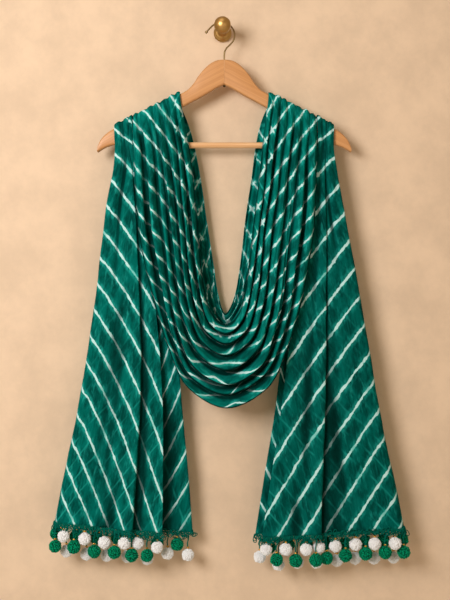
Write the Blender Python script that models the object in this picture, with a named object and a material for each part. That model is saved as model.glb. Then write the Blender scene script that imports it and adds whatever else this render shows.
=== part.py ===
"""A leheriya dupatta stole with pom-pom ends, wound on a wooden hanger that hangs from a wall hook.

Metres, +Z up, front toward -Y. The origin is where the wall hook's plate meets the wall.
Every cloth piece is a thin closed wall. Its middle surface is worked out from a table that has a
row for each station along the cloth, and a table that has a row for each fold across it.
"""
import math

import bpy
import numpy as np

MM = 0.001

# Where the hanger hangs: its middle is a little to the side of the wall hook's axis
HANGER_X = 3.0 * MM
HANGER_Y = -32.0 * MM

CLOTH_THICKNESS = 1.2 * MM
SEAT_GAP = 0.3 * MM

# Wood
ARM_THICKNESS = 13.0 * MM
ARM_CHAMFER = 4.0 * MM
ARM_JOINT_GAP = 0.15 * MM
BAR_RADIUS = 5.3 * MM
BAR_Z = -206.2 * MM
BAR_END = 175.7 * MM
BAR_SIDES = 12

# Brass
WIRE_RADIUS = 1.4 * MM
WIRE_TIP_RADIUS = 2.6 * MM
WIRE_TIP_OFFSET = 2.3 * MM
WIRE_TIP_RINGS = (-40.0, 0.0, 40.0, 75.0)
WIRE_SIDES = 8
KNOB_SIDES = 20

# Pom-pom trims
TRIM_HEIGHT = 7.0 * MM
TRIM_THICKNESS = 2.4 * MM
CORD_WIDTH = 2.4 * MM
POMPOM_RADIUS = 10.2 * MM
POMPOM_RINGS = (35.0, 75.0, 110.0, 150.0)
NECK_ABOVE_POMPOM = 1.5 * MM
NECK_TAPER = 0.8
SHORT_DROP = 21.0 * MM
LONG_DROP = 37.0 * MM
POMPOM_PITCH = 17.6 * MM

SAMPLES_PER_FOLD = 6
ROUNDING = 0.08
TURN_SEGMENTS = 4
LAYER_CUTS = 2


def table(names, rows):
    """A table's columns by name, as arrays."""
    return {name: np.array(column, float) for name, column in zip(names.split(), zip(*rows))}


# Hanger arm, from the joint in the middle to the tip, in mm: out from the middle, top and bottom
HANGER_ARM = table("out top bottom", (
    (0.0, -55.5, -100.0),
    (12.0, -56.8, -105.5),
    (23.0, -61.8, -112.0),
    (34.0, -71.0, -118.5),
    (45.0, -84.0, -124.5),
    (53.0, -96.5, -128.5),
    (62.0, -106.8, -133.5),
    (72.0, -113.6, -139.0),
    (84.0, -119.6, -145.5),
    (130.0, -143.6, -169.5),
    (176.0, -167.6, -192.5),
    (176.3, -167.8, -213.5),
    (188.0, -174.0, -213.5),
    (192.0, -176.2, -206.0),
    (205.0, -184.0, -209.0),
    (216.0, -195.0, -214.5),
    (222.0, -206.5, -218.5),
    (223.5, -212.5, -217.5),
))

# Hook wire, in mm from the hanger's middle, from the stem's foot over the wall hook to the tip
HOOK_WIRE = table("x z", (
    (0.0, -55.2),
    (0.0, -47.0),
    (0.8, -41.0),
    (4.5, -34.5),
    (11.0, -28.0),
    (16.5, -20.5),
    (18.3, -11.0),
    (16.5, -3.5),
    (12.0, 3.5),
    (5.0, 8.2),
    (-3.0, 9.3),
    (-11.0, 8.8),
    (-18.0, 6.6),
    (-25.0, 0.6),
    (-30.0, -5.0),
))

# Wall hook, in mm: distance from the wall and radius
WALL_HOOK = table("out radius", (
    (0.0, 16.0),
    (3.0, 16.0),
    (4.6, 14.8),
    (4.8, 12.6),
    (7.6, 11.8),
    (8.8, 9.4),
    (11.5, 7.8),
    (25.0, 7.6),
))
BALL_CENTRE = 54.0
BALL_RADIUS = 14.7
BALL_RINGS = 9
BALL_FRONT_DEGREES = 8.0

# Cowl, the swag in front, from behind an arm over its top and down to the middle. In mm: how far
# its inner and outer edges are out from the middle on the left and right, and how high; how far
# they stand off the hanger's plane; the way the cloth faces there in degrees, from -90 behind the
# arm over 0 on top to 90 in front; half the depth of its folds and how they lean; which column of
# the fold table holds; and how many steps lead to the next row.
COWL = table(
    "in_left in_right in_z out_left out_right out_z in_off out_off face fold lean belly column steps", (
        (78.0, 78.0, -134.0, 159.5, 160.5, -176.6, 10.0, 10.0, -90.0, 1.4, 0.0, 0.0, 0.0, 1),
        (78.0, 78.0, -122.0, 159.5, 160.5, -164.0, 10.0, 10.0, -90.0, 1.5, 0.0, 0.0, 0.0, 1),
        (78.0, 78.0, -118.0, 159.5, 160.5, -160.0, 7.6, 7.6, -45.0, 1.5, 0.0, 0.0, 0.0, 1),
        (78.0, 78.0, -116.0, 159.5, 160.5, -158.4, 3.6, 3.6, 0.0, 1.5, 0.0, 0.0, 0.0, 1),
        (78.0, 78.0, -118.0, 159.5, 160.5, -160.0, 7.8, 7.8, 45.0, 1.6, 0.0, 0.0, 0.0, 1),
        (77.5, 77.5, -121.5, 159.5, 161.0, -164.0, 11.4, 11.8, 90.0, 1.8, 0.0, 0.0, 0.1, 1),
        (75.0, 76.0, -140.0, 159.0, 161.5, -188.0, 14.0, 16.4, 90.0, 3.4, 4.0, 1.0, 0.3, 1),
        (71.0, 73.0, -165.0, 158.0, 161.5, -222.0, 15.6, 23.0, 90.0, 4.6, 10.0, 2.0, 0.6, 1),
        (62.0, 67.0, -214.0, 156.5, 161.0, -282.0, 17.6, 29.0, 90.0, 5.4, 16.0, 3.0, 0.9, 1),
        (54.0, 61.5, -273.0, 150.0, 157.0, -361.0, 20.0, 33.0, 90.0, 5.8, 22.0, 4.0, 1.0, 1),
        (48.0, 53.0, -340.0, 137.0, 146.0, -430.0, 22.5, 37.0, 90.0, 6.2, 30.0, 5.0, 1.2, 1),
        (43.0, 46.0, -406.0, 119.5, 132.0, -499.0, 25.0, 41.0, 90.0, 6.6, 38.0, 6.0, 1.5, 1),
        (36.0, 38.0, -461.0, 97.0, 110.0, -566.0, 27.5, 45.0, 90.0, 7.0, 46.0, 7.0, 1.8, 2),
        (22.0, 26.0, -501.0, 61.0, 74.0, -626.0, 30.0, 49.0, 90.0, 7.4, 50.0, 8.0, 2.0, 2),
        (-3.0, 3.0, -515.0, -5.0, 5.0, -663.0, 31.0, 51.0, 90.0, 7.6, 52.0, 8.0, 2.0, 0),
    ))

# Cowl folds, a row for each valley from the inner edge to the outer: its share of the width at
# the arms, halfway down and in the middle, and how full the next fold is at each
COWL_FOLDS = table("arm half middle arm_rise half_rise middle_rise", (
    (0.00, 0.00, 0.00, 1.0, 0.7, 0.9),
    (0.14, 0.10, 0.13, 0.9, 0.9, 0.8),
    (0.28, 0.21, 0.25, 1.0, 0.8, 1.0),
    (0.42, 0.34, 0.39, 0.8, 1.0, 1.1),
    (0.57, 0.48, 0.58, 1.0, 0.6, 1.1),
    (0.71, 0.61, 0.77, 0.9, 1.1, 0.8),
    (0.86, 0.80, 0.89, 1.0, 1.0, 0.8),
    (1.00, 1.00, 1.00, 1.0, 1.0, 1.0),
))

# Back swag, behind the hanger, from an arm to the middle, with the cowl's columns
BACK_SWAG = table(
    "in_left in_right in_z out_left out_right out_z in_off out_off face fold lean belly column steps", (
        (78.0, 78.0, -134.5, 193.0, 193.0, -194.5, 11.0, 11.0, -90.0, 2.0, 0.0, 0.0, 0.0, 1),
        (67.0, 67.0, -160.0, 189.0, 189.0, -238.0, 13.5, 13.5, -90.0, 3.4, 6.0, 0.0, 0.3, 1),
        (55.0, 57.5, -200.0, 178.0, 180.0, -300.0, 16.0, 15.5, -90.0, 4.4, 12.0, 0.0, 0.6, 1),
        (42.0, 48.5, -270.0, 158.0, 160.0, -380.0, 17.0, 16.0, -90.0, 5.0, 18.0, 0.0, 1.0, 1),
        (32.5, 38.5, -340.0, 132.0, 134.0, -450.0, 17.5, 16.0, -90.0, 5.2, 26.0, 0.0, 1.3, 1),
        (22.0, 31.0, -410.0, 100.0, 104.0, -512.0, 17.5, 16.0, -90.0, 5.4, 34.0, 0.0, 1.6, 2),
        (12.0, 20.0, -474.0, 58.0, 62.0, -562.0, 17.5, 16.5, -90.0, 5.6, 40.0, 0.0, 2.0, 2),
        (-2.0, 2.0, -506.0, -3.0, 3.0, -588.0, 17.5, 17.0, -90.0, 5.6, 40.0, 0.0, 2.0, 0),
    ))

BACK_FOLDS = table("arm half middle arm_rise half_rise middle_rise", (
    (0.00, 0.00, 0.00, 1.0, 0.8, 0.8),
    (0.24, 0.17, 0.20, 0.9, 1.0, 0.8),
    (0.49, 0.40, 0.45, 1.0, 0.9, 1.0),
    (0.75, 0.70, 0.72, 0.9, 0.8, 0.9),
    (1.00, 1.00, 1.00, 1.0, 1.0, 1.0),
))

# Tails, from behind an arm over its top and down to the hem. A tail is folded along its length
# about its outer edge. In mm: the outer edge, the free edge of its front layer and that of its
# back layer; how far each layer stands off the hanger's plane; the way it faces; how far the
# folds have gone from their size at the arm to that at the hem; and the steps to the next row.
TAIL_COLUMNS = "outer_x outer_z edge_x edge_z back_x back_z back_off front_off face spread steps"
TAIL_LEFT = table(TAIL_COLUMNS, (
    (-193.0, -194.1, -161.8, -177.8, -162.0, -177.9, 8.6, 11.6, -90.0, 0.0, 1),
    (-193.0, -182.0, -161.8, -166.0, -162.0, -166.0, 8.6, 11.6, -90.0, 0.0, 1),
    (-193.0, -178.0, -161.8, -162.0, -162.0, -162.0, 6.6, 9.4, -45.0, 0.0, 1),
    (-193.0, -176.0, -161.8, -160.0, -162.0, -160.0, 1.8, 4.4, 0.0, 0.0, 1),
    (-193.0, -178.0, -161.8, -162.0, -162.0, -162.0, 6.8, 9.8, 45.0, 0.0, 1),
    (-192.5, -182.5, -161.8, -166.5, -162.0, -166.5, 9.2, 12.4, 90.0, 0.02, 1),
    (-191.0, -217.0, -160.5, -212.0, -160.0, -212.0, 9.0, 13.2, 90.0, 0.06, 1),
    (-194.5, -252.0, -152.0, -252.0, -152.0, -252.0, 9.0, 14.2, 90.0, 0.12, 1),
    (-205.0, -304.0, -141.0, -304.0, -138.0, -304.0, 8.8, 15.4, 90.0, 0.2, 2),
    (-215.5, -392.0, -130.0, -392.0, -116.0, -392.0, 8.5, 17.6, 90.0, 0.32, 2),
    (-226.0, -479.0, -121.0, -479.0, -99.0, -479.0, 8.0, 20.0, 90.0, 0.45, 2),
    (-239.0, -573.0, -112.0, -573.0, -82.0, -573.0, 8.0, 23.0, 90.0, 0.6, 2),
    (-256.0, -672.0, -106.5, -674.0, -73.0, -676.0, 8.0, 27.0, 90.0, 0.75, 2),
    (-276.0, -768.0, -106.0, -775.0, -63.5, -778.0, 8.0, 31.0, 90.0, 0.9, 2),
    (-296.0, -866.0, -107.0, -885.0, -55.0, -890.0, 8.0, 34.0, 90.0, 1.0, 0),
))
TAIL_RIGHT = table(TAIL_COLUMNS, (
    (193.0, -194.1, 162.8, -178.3, 163.0, -178.4, 8.6, 11.6, -90.0, 0.0, 1),
    (193.0, -182.0, 162.8, -166.0, 163.0, -166.0, 8.6, 11.6, -90.0, 0.0, 1),
    (193.0, -178.0, 162.8, -162.0, 163.0, -162.0, 6.6, 9.4, -45.0, 0.0, 1),
    (193.0, -176.0, 162.8, -160.0, 163.0, -160.0, 1.8, 4.4, 0.0, 0.0, 1),
    (193.0, -178.0, 162.8, -162.0, 163.0, -162.0, 6.8, 9.8, 45.0, 0.0, 1),
    (192.5, -182.5, 163.4, -166.5, 163.6, -166.5, 9.2, 12.4, 90.0, 0.02, 1),
    (192.0, -217.0, 163.6, -212.0, 163.0, -212.0, 9.0, 13.2, 90.0, 0.06, 1),
    (197.0, -250.0, 156.0, -252.0, 154.0, -252.0, 9.0, 14.2, 90.0, 0.12, 1),
    (206.0, -304.0, 148.0, -304.0, 140.0, -304.0, 8.8, 15.4, 90.0, 0.2, 2),
    (223.0, -392.0, 136.0, -392.0, 125.0, -392.0, 8.5, 17.6, 90.0, 0.32, 2),
    (238.0, -479.0, 122.0, -479.0, 111.0, -479.0, 8.0, 20.0, 90.0, 0.45, 2),
    (254.5, -573.0, 111.0, -573.0, 101.0, -573.0, 8.0, 23.0, 90.0, 0.6, 2),
    (272.0, -676.0, 98.0, -676.0, 88.5, -676.0, 8.0, 27.0, 90.0, 0.75, 2),
    (292.0, -775.0, 82.0, -780.0, 71.5, -781.0, 8.0, 31.0, 90.0, 0.9, 2),
    (314.0, -876.0, 65.0, -893.0, 54.0, -892.0, 8.0, 34.0, 90.0, 1.0, 0),
))

# Folds down a tail's layers, a row for each ridge or valley from the outer edge to the free edge:
# its share of the layer and its rise in mm, at the arm and at the hem
FOLD_COLUMNS = "arm_share hem_share arm_rise hem_rise"
LEFT_FRONT_FOLDS = table(FOLD_COLUMNS, (
    (0.00, 0.00, 0.0, 0.0),
    (0.20, 0.10, 1.2, 2.0),
    (0.36, 0.30, -0.2, -3.0),
    (0.55, 0.55, 1.2, 2.0),
    (0.72, 0.68, 0.9, 5.0),
    (0.80, 0.72, -0.2, -4.5),
    (0.90, 0.86, 1.0, -1.0),
    (1.00, 1.00, 0.0, -3.0),
))
RIGHT_FRONT_FOLDS = table(FOLD_COLUMNS, (
    (0.00, 0.00, 0.0, 0.0),
    (0.18, 0.14, 1.2, 1.0),
    (0.30, 0.36, -0.2, -3.0),
    (0.37, 0.53, 0.4, -4.0),
    (0.44, 0.58, 1.2, 5.0),
    (0.66, 0.74, -0.2, 0.0),
    (0.84, 0.90, 1.0, 2.5),
    (1.00, 1.00, 0.0, -3.0),
))
TAIL_BACK_FOLDS = table(FOLD_COLUMNS, (
    (0.00, 0.00, 0.0, 0.0),
    (0.30, 0.24, 0.3, 2.0),
    (0.55, 0.48, -0.3, -2.5),
    (0.78, 0.74, 0.3, 2.5),
    (1.00, 1.00, 0.0, -1.5),
))

GREEN = (0.0, 0.16, 0.10, 1.0)
DARK_GREEN = (0.0, 0.09, 0.06, 1.0)
POMPOM_GREEN = (0.0, 0.30, 0.16, 1.0)
WOOD = (0.62, 0.36, 0.17, 1.0)
PALE_WOOD = (0.72, 0.47, 0.26, 1.0)
BRASS = (0.55, 0.33, 0.12, 1.0)


def clear_scene():
    """Start from nothing."""
    for item in list(bpy.data.objects):
        bpy.data.objects.remove(item, do_unlink=True)


def material(name, colour, roughness, metallic=0.0):
    """A plain Principled finish."""
    made = bpy.data.materials.new(name)
    made.use_nodes = True
    shader = made.node_tree.nodes["Principled BSDF"]
    shader.inputs["Base Color"].default_value = colour
    shader.inputs["Roughness"].default_value = roughness
    shader.inputs["Metallic"].default_value = metallic
    return made


def add_object(name, points, faces, finish):
    """A named object from points and faces, turned to face outward."""
    points = np.asarray(points, float)
    signed = 0.0
    for face in faces:
        for k in range(1, len(face) - 1):
            a, b, c = points[face[0]], points[face[k]], points[face[k + 1]]
            signed += float(np.dot(a, np.cross(b, c)))
    if signed < 0.0:
        faces = [tuple(reversed(face)) for face in faces]
    mesh = bpy.data.meshes.new(name)
    mesh.from_pydata(points.tolist(), [], faces)
    mesh.update()
    mesh.materials.append(finish)
    made = bpy.data.objects.new(name, mesh)
    bpy.context.scene.collection.objects.link(made)
    return made


def through(rows, at):
    """A smooth curve through a list of rows; at counts the rows from 0."""
    rows = np.asarray(rows, float)
    last = len(rows) - 1
    at = np.clip(np.asarray(at, float), 0.0, last)
    first = np.minimum(at.astype(int), last - 1)
    part = at - first
    if rows.ndim > 1:
        part = part[:, None]
    start = rows[first]
    end = rows[first + 1]
    leave = (end - rows[np.maximum(first - 1, 0)]) / 2.0
    arrive = (rows[np.minimum(first + 2, last)] - start) / 2.0
    square = part * part
    cube = square * part
    blend = 3.0 * square - 2.0 * cube
    return (start * (1.0 - blend) + end * blend
            + leave * (cube - 2.0 * square + part) + arrive * (cube - square))


def stations(steps):
    """Where sections stand along a table, counted in rows."""
    places = [row + k / steps[row] for row in range(len(steps) - 1) for k in range(int(steps[row]))]
    return np.array(places + [len(steps) - 1.0])


def directions(face):
    """The way the cloth faces at each station: behind, on top or in front of the arm."""
    turn = np.radians(face)
    return np.stack([np.zeros_like(turn), -np.sin(turn), np.cos(turn)], axis=1)


def edge_line(x, z, off, facing):
    """An edge of the cloth: a line in the hanger's plane, moved out the way the cloth faces."""
    flat = np.stack([HANGER_X + x * MM, np.full_like(x, HANGER_Y), z * MM], axis=1)
    return flat + facing * (off * MM)[:, None]


def rounded_wave(phase):
    """A wave from 0 in the valleys, at whole numbers, to 1 on rounded ridges between them."""
    turn = 2.0 * math.pi * phase - math.pi / 2.0
    wave = (np.sin(turn) + ROUNDING * np.sin(3.0 * turn)) / (1.0 - ROUNDING)
    return 0.5 + 0.5 * wave


def swag_points(rows, folds):
    """The middle surface of a swag between the arms: a grid of stations by places across."""
    def whole(left, right, sign=1.0):
        return np.concatenate([sign * rows[left], rows[right][-2::-1]])

    steps = rows["steps"]
    there = stations(steps)
    half_rows = len(steps) - 1
    at = np.concatenate([there, (2 * half_rows - there)[-2::-1]])

    def column(name):
        return through(whole(name, name), at)

    facing = directions(column("face"))
    inner = edge_line(through(whole("in_left", "in_right", -1.0), at), column("in_z"),
                      column("in_off"), facing)
    outer = edge_line(through(whole("out_left", "out_right", -1.0), at), column("out_z"),
                      column("out_off"), facing)
    across = outer - inner
    down = across / np.linalg.norm(across, axis=1)[:, None]
    lean = np.radians(column("lean"))[:, None]
    rise_way = facing * np.cos(lean) + down * np.sin(lean)

    count = len(folds["arm"]) - 1
    phase = np.linspace(0.0, count, count * SAMPLES_PER_FOLD + 1)
    which = column("column")
    shares = through(np.stack([folds["arm"], folds["half"], folds["middle"]]), which)
    fullness = through(np.stack([folds["arm_rise"], folds["half_rise"], folds["middle_rise"]]), which)
    fold_index = np.minimum(phase.astype(int), count - 1)
    depth = 2.0 * column("fold")[:, None] * fullness[:, fold_index] * rounded_wave(phase)
    depth = (depth - column("fold")[:, None]) * MM

    grid = np.empty((len(at), len(phase), 3))
    for i, valleys in enumerate(shares):
        share = np.interp(phase, np.arange(count + 1.0), valleys)[:, None]
        belly = 4.0 * share * (1.0 - share) * column("belly")[i] * MM
        grid[i] = inner[i] + across[i] * share + facing[i] * belly + rise_way[i] * depth[i][:, None]
    return grid


def layer_folds(folds, spread):
    """Places across one layer of a tail and their rise in metres, eased between the folds."""
    share = folds["arm_share"] + (folds["hem_share"] - folds["arm_share"]) * spread
    rise = folds["arm_rise"] + (folds["hem_rise"] - folds["arm_rise"]) * spread
    places = []
    heights = []
    for k in range(len(share) - 1):
        for cut in range(LAYER_CUTS):
            part = cut / LAYER_CUTS
            eased = 0.5 - 0.5 * math.cos(math.pi * part)
            places.append(share[k] + (share[k + 1] - share[k]) * part)
            heights.append(rise[k] + (rise[k + 1] - rise[k]) * eased)
    places.append(share[-1])
    heights.append(rise[-1])
    return np.array(places)[:, None], np.array(heights)[:, None] * MM


def tail_points(rows, front_folds):
    """The middle surface of a tail: a grid of stations by places round its folded section."""
    at = stations(rows["steps"])

    def column(name):
        return through(rows[name], at)

    facing = directions(column("face"))
    outer_back = edge_line(column("outer_x"), column("outer_z"), column("back_off"), facing)
    outer_front = edge_line(column("outer_x"), column("outer_z"), column("front_off"), facing)
    back_edge = edge_line(column("back_x"), column("back_z"), column("back_off"), facing)
    front_edge = edge_line(column("edge_x"), column("edge_z"), column("front_off"), facing)

    grid = []
    for i, spread in enumerate(column("spread")):
        half_gap = np.linalg.norm(outer_front[i] - outer_back[i]) / 2.0
        inward = (front_edge[i] - outer_front[i]) / np.linalg.norm(front_edge[i] - outer_front[i])
        back_start = outer_back[i] + inward * half_gap
        front_start = outer_front[i] + inward * half_gap
        share, rise = layer_folds(TAIL_BACK_FOLDS, spread)
        back = back_start + (back_edge[i] - back_start) * share + facing[i] * rise
        share, rise = layer_folds(front_folds, spread)
        front = front_start + (front_edge[i] - front_start) * share + facing[i] * rise
        middle = (back_start + front_start) / 2.0
        turn = [middle - inward * half_gap * math.cos(a) + facing[i] * half_gap * math.sin(a)
                for a in np.radians(np.linspace(-90.0, 90.0, TURN_SEGMENTS + 1)[1:-1])]
        grid.append(np.concatenate([back[::-1], np.array(turn), front]))
    return np.array(grid)


def cloth_wall(name, grid, finish):
    """A closed wall of even thickness on both sides of a grid of points."""
    rows, columns, _ = grid.shape
    along = np.gradient(grid, axis=0)
    across = np.gradient(grid, axis=1)
    normal = np.cross(along, across)
    normal /= np.linalg.norm(normal, axis=2)[:, :, None]
    half = normal * CLOTH_THICKNESS / 2.0
    points = np.concatenate([(grid + half).reshape(-1, 3), (grid - half).reshape(-1, 3)])
    under = rows * columns

    def spot(row, column):
        return row * columns + column

    faces = []
    for row in range(rows - 1):
        for column in range(columns - 1):
            a, b = spot(row, column), spot(row, column + 1)
            c, d = spot(row + 1, column + 1), spot(row + 1, column)
            faces += [(a, b, c), (a, c, d)]
            faces += [(a + under, c + under, b + under), (a + under, d + under, c + under)]
    rim = [spot(0, column) for column in range(columns)]
    rim += [spot(row, columns - 1) for row in range(1, rows)]
    rim += [spot(rows - 1, column) for column in range(columns - 2, -1, -1)]
    rim += [spot(row, 0) for row in range(rows - 2, 0, -1)]
    for k, here in enumerate(rim):
        after = rim[(k + 1) % len(rim)]
        faces += [(after, here, here + under), (after, here + under, after + under)]
    return add_object(name, points, faces, finish)


def loft(name, rings, finish):
    """A closed solid through rings of equally many points, with flat ends."""
    sides = len(rings[0])
    points = np.concatenate([np.asarray(ring, float) for ring in rings])
    faces = []
    for row in range(len(rings) - 1):
        for k in range(sides):
            a = row * sides + k
            b = row * sides + (k + 1) % sides
            faces.append((a, b, b + sides, a + sides))
    last = (len(rings) - 1) * sides
    faces.append(tuple(reversed(range(sides))))
    faces.append(tuple(range(last, last + sides)))
    return add_object(name, points, faces, finish)


def hanger_arm(name, side, finish):
    """Half of the hanger, with rounded edges, from the joint in the middle to its tip."""
    rings = []
    half = ARM_THICKNESS / 2.0
    for out, top, bottom in zip(HANGER_ARM["out"], HANGER_ARM["top"], HANGER_ARM["bottom"]):
        x = HANGER_X + side * max(out * MM, ARM_JOINT_GAP)
        top_z = top * MM
        bottom_z = bottom * MM
        cut = min(ARM_CHAMFER, (top_z - bottom_z) / 3.0)
        section = (
            (-half, bottom_z + cut), (-half, top_z - cut),
            (-half + cut, top_z), (half - cut, top_z),
            (half, top_z - cut), (half, bottom_z + cut),
            (half - cut, bottom_z), (-half + cut, bottom_z),
        )
        rings.append([(x, HANGER_Y + y, z) for y, z in section])
    return loft(name, rings, finish)


def round_ring(centre, first, second, radius, sides):
    """A ring of points about a centre, in the plane of two directions."""
    turns = [2.0 * math.pi * k / sides for k in range(sides)]
    return [centre + (first * math.cos(a) + second * math.sin(a)) * radius for a in turns]


def hanger_bar(finish):
    """The trouser bar between the arms."""
    rings = []
    for x in (-BAR_END, BAR_END):
        centre = np.array([HANGER_X + x, HANGER_Y, BAR_Z])
        rings.append(round_ring(centre, np.array([0.0, 1.0, 0.0]), np.array([0.0, 0.0, 1.0]),
                                BAR_RADIUS, BAR_SIDES))
    return loft("hanger_bar", rings, finish)


def hanger_hook(finish):
    """The hook's wire with a small ball on its tip."""
    count = len(HOOK_WIRE["x"])
    at = np.linspace(0.0, count - 1.0, 2 * count - 1)
    x = HANGER_X + through(HOOK_WIRE["x"], at) * MM
    z = through(HOOK_WIRE["z"], at) * MM
    path = np.stack([x, np.full_like(x, HANGER_Y), z], axis=1)
    radii = [WIRE_RADIUS] * len(path)
    along = np.gradient(path, axis=0)
    along /= np.linalg.norm(along, axis=1)[:, None]
    way = along[-1]
    tip = path[-1] + way * WIRE_TIP_OFFSET
    for degrees in WIRE_TIP_RINGS:
        angle = math.radians(degrees)
        path = np.vstack([path, tip + way * WIRE_TIP_RADIUS * math.sin(angle)])
        along = np.vstack([along, way])
        radii.append(WIRE_TIP_RADIUS * math.cos(angle))
    toward = np.array([0.0, 1.0, 0.0])
    rings = [round_ring(point, toward, np.cross(toward, heading), radius, WIRE_SIDES)
             for point, heading, radius in zip(path, along, radii)]
    return loft("hanger_hook", rings, finish)


def wall_hook(finish):
    """The plate, neck and ball that the hanger's hook hangs on."""
    profile = [(out, radius) for out, radius in zip(WALL_HOOK["out"], WALL_HOOK["radius"])]
    neck = WALL_HOOK["radius"][-1]
    start = math.degrees(math.asin(neck / BALL_RADIUS))
    for degrees in np.linspace(180.0 - start, BALL_FRONT_DEGREES, BALL_RINGS):
        angle = math.radians(degrees)
        profile.append((BALL_CENTRE + BALL_RADIUS * math.cos(angle), BALL_RADIUS * math.sin(angle)))
    rings = [round_ring(np.array([0.0, -out * MM, 0.0]), np.array([1.0, 0.0, 0.0]),
                        np.array([0.0, 0.0, 1.0]), radius * MM, KNOB_SIDES)
             for out, radius in profile]
    return loft("wall_hook", rings, finish)


def pompom_places(hem):
    """Where pom-poms hang along a hem, from the back layer's free edge round to the front's."""
    steps = np.linalg.norm(np.diff(hem, axis=0), axis=1)
    reached = np.concatenate([[0.0], np.cumsum(steps)])
    front_points = LAYER_CUTS * (len(LEFT_FRONT_FOLDS["arm_share"]) - 1) + 1
    turn_middle = len(hem) - front_points - TURN_SEGMENTS // 2
    back_length = reached[turn_middle]
    front_length = reached[-1] - back_length
    on_back = 2 * round(back_length / POMPOM_PITCH / 2.0)
    on_front = round(front_length / POMPOM_PITCH)
    hung = [back_length * (k + 0.5) / on_back for k in range(on_back)]
    hung += [back_length + front_length * (k + 0.5) / on_front for k in range(on_front)]
    places = [0.0]
    for place in hung:
        places += [place - CORD_WIDTH / 2.0, place + CORD_WIDTH / 2.0]
    places.append(reached[-1])
    return np.stack([np.interp(places, reached, hem[:, k]) for k in range(3)], axis=1)


def pompom_trim(name, hem, finish):
    """The crocheted strip under a hem and its pom-poms, long and short ones by turns."""
    line = pompom_places(hem)
    heading = np.gradient(line, axis=0)
    heading[:, 2] = 0.0
    heading /= np.linalg.norm(heading, axis=1)[:, None]
    side = np.stack([heading[:, 1], -heading[:, 0], np.zeros(len(line))], axis=1)
    side *= TRIM_THICKNESS / 2.0
    top = line - np.array([0.0, 0.0, SEAT_GAP])
    bottom = top - np.array([0.0, 0.0, TRIM_HEIGHT])
    sections = np.stack([top - side, top + side, bottom + side, bottom - side], axis=1)
    points = list(sections.reshape(-1, 3))
    faces = [(0, 1, 2, 3)]
    for k in range(len(line) - 1):
        a = 4 * k
        b = a + 4
        faces += [(a, b, b + 1, a + 1), (a + 1, b + 1, b + 2, a + 2), (a + 3, b + 3, b, a)]
        under = (a + 2, b + 2, b + 3, a + 3)
        if k % 2 == 0:
            faces.append(under)
        else:
            drop = SHORT_DROP if (k // 2) % 2 else LONG_DROP
            faces += hang_pompom(points, under, (line[k] + line[k + 1]) / 2.0, drop)
    end = 4 * (len(line) - 1)
    faces.append((end + 3, end + 2, end + 1, end))
    return add_object(name, points, faces, finish)


def hang_pompom(points, root_ring, foot, drop):
    """Adds a cord and its pom-pom under a ring of four points; returns their faces."""
    ball = foot - np.array([0.0, 0.0, drop])
    root = np.mean([points[k] for k in root_ring], axis=0)
    corners = [points[k] - root for k in root_ring]
    neck = ball + np.array([0.0, 0.0, POMPOM_RADIUS + NECK_ABOVE_POMPOM])
    levels = [[neck + corner * NECK_TAPER for corner in corners]]
    ways = [corners[k] + corners[(k + 1) % 4] for k in range(4)]
    ways = [np.array([x, y, 0.0]) / math.hypot(x, y) for x, y, _ in ways]
    for degrees in POMPOM_RINGS:
        angle = math.radians(degrees)
        centre = ball + np.array([0.0, 0.0, POMPOM_RADIUS * math.cos(angle)])
        levels.append([centre + way * POMPOM_RADIUS * math.sin(angle) for way in ways])
    faces = []
    above = root_ring
    for level in levels:
        below = list(range(len(points), len(points) + 4))
        points.extend(level)
        faces += [(above[k], above[(k + 1) % 4], below[(k + 1) % 4], below[k]) for k in range(4)]
        above = below
    tip = len(points)
    points.append(ball - np.array([0.0, 0.0, POMPOM_RADIUS]))
    faces += [(above[k], above[(k + 1) % 4], tip) for k in range(4)]
    return faces


def main():
    """Builds every piece."""
    clear_scene()
    cloth = material("green_cloth", GREEN, 0.85)
    shaded = material("green_cloth_behind", DARK_GREEN, 0.9)
    trim = material("pompom_wool", POMPOM_GREEN, 0.95)
    wood = material("hanger_wood", WOOD, 0.5)
    pale_wood = material("bar_wood", PALE_WOOD, 0.5)
    brass = material("brass", BRASS, 0.3, 1.0)

    wall_hook(brass)
    hanger_hook(brass)
    hanger_arm("hanger_arm_left", -1.0, wood)
    hanger_arm("hanger_arm_right", 1.0, wood)
    hanger_bar(pale_wood)
    cloth_wall("cowl", swag_points(COWL, COWL_FOLDS), cloth)
    cloth_wall("back_swag", swag_points(BACK_SWAG, BACK_FOLDS), shaded)
    tails = (("left", TAIL_LEFT, LEFT_FRONT_FOLDS), ("right", TAIL_RIGHT, RIGHT_FRONT_FOLDS))
    for side, rows, folds in tails:
        grid = tail_points(rows, folds)
        cloth_wall("tail_" + side, grid, cloth)
        pompom_trim("pompom_trim_" + side, grid[-1], trim)


main()
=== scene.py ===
"""Looks of a leheriya dupatta stole on a wooden hanger: cloth, pom-pom edging, wood and brass.

Metres, +Z up, front toward -Y. The origin is where the wall hook's plate meets the wall. Each cloth
shell is worked out from the tables of its solid, with finer folds, listed creases and a UV map in
metres of cloth, on which the dyer's stripes lie.
"""
import math
from collections import namedtuple

import bpy
import numpy as np
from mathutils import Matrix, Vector, noise


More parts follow.
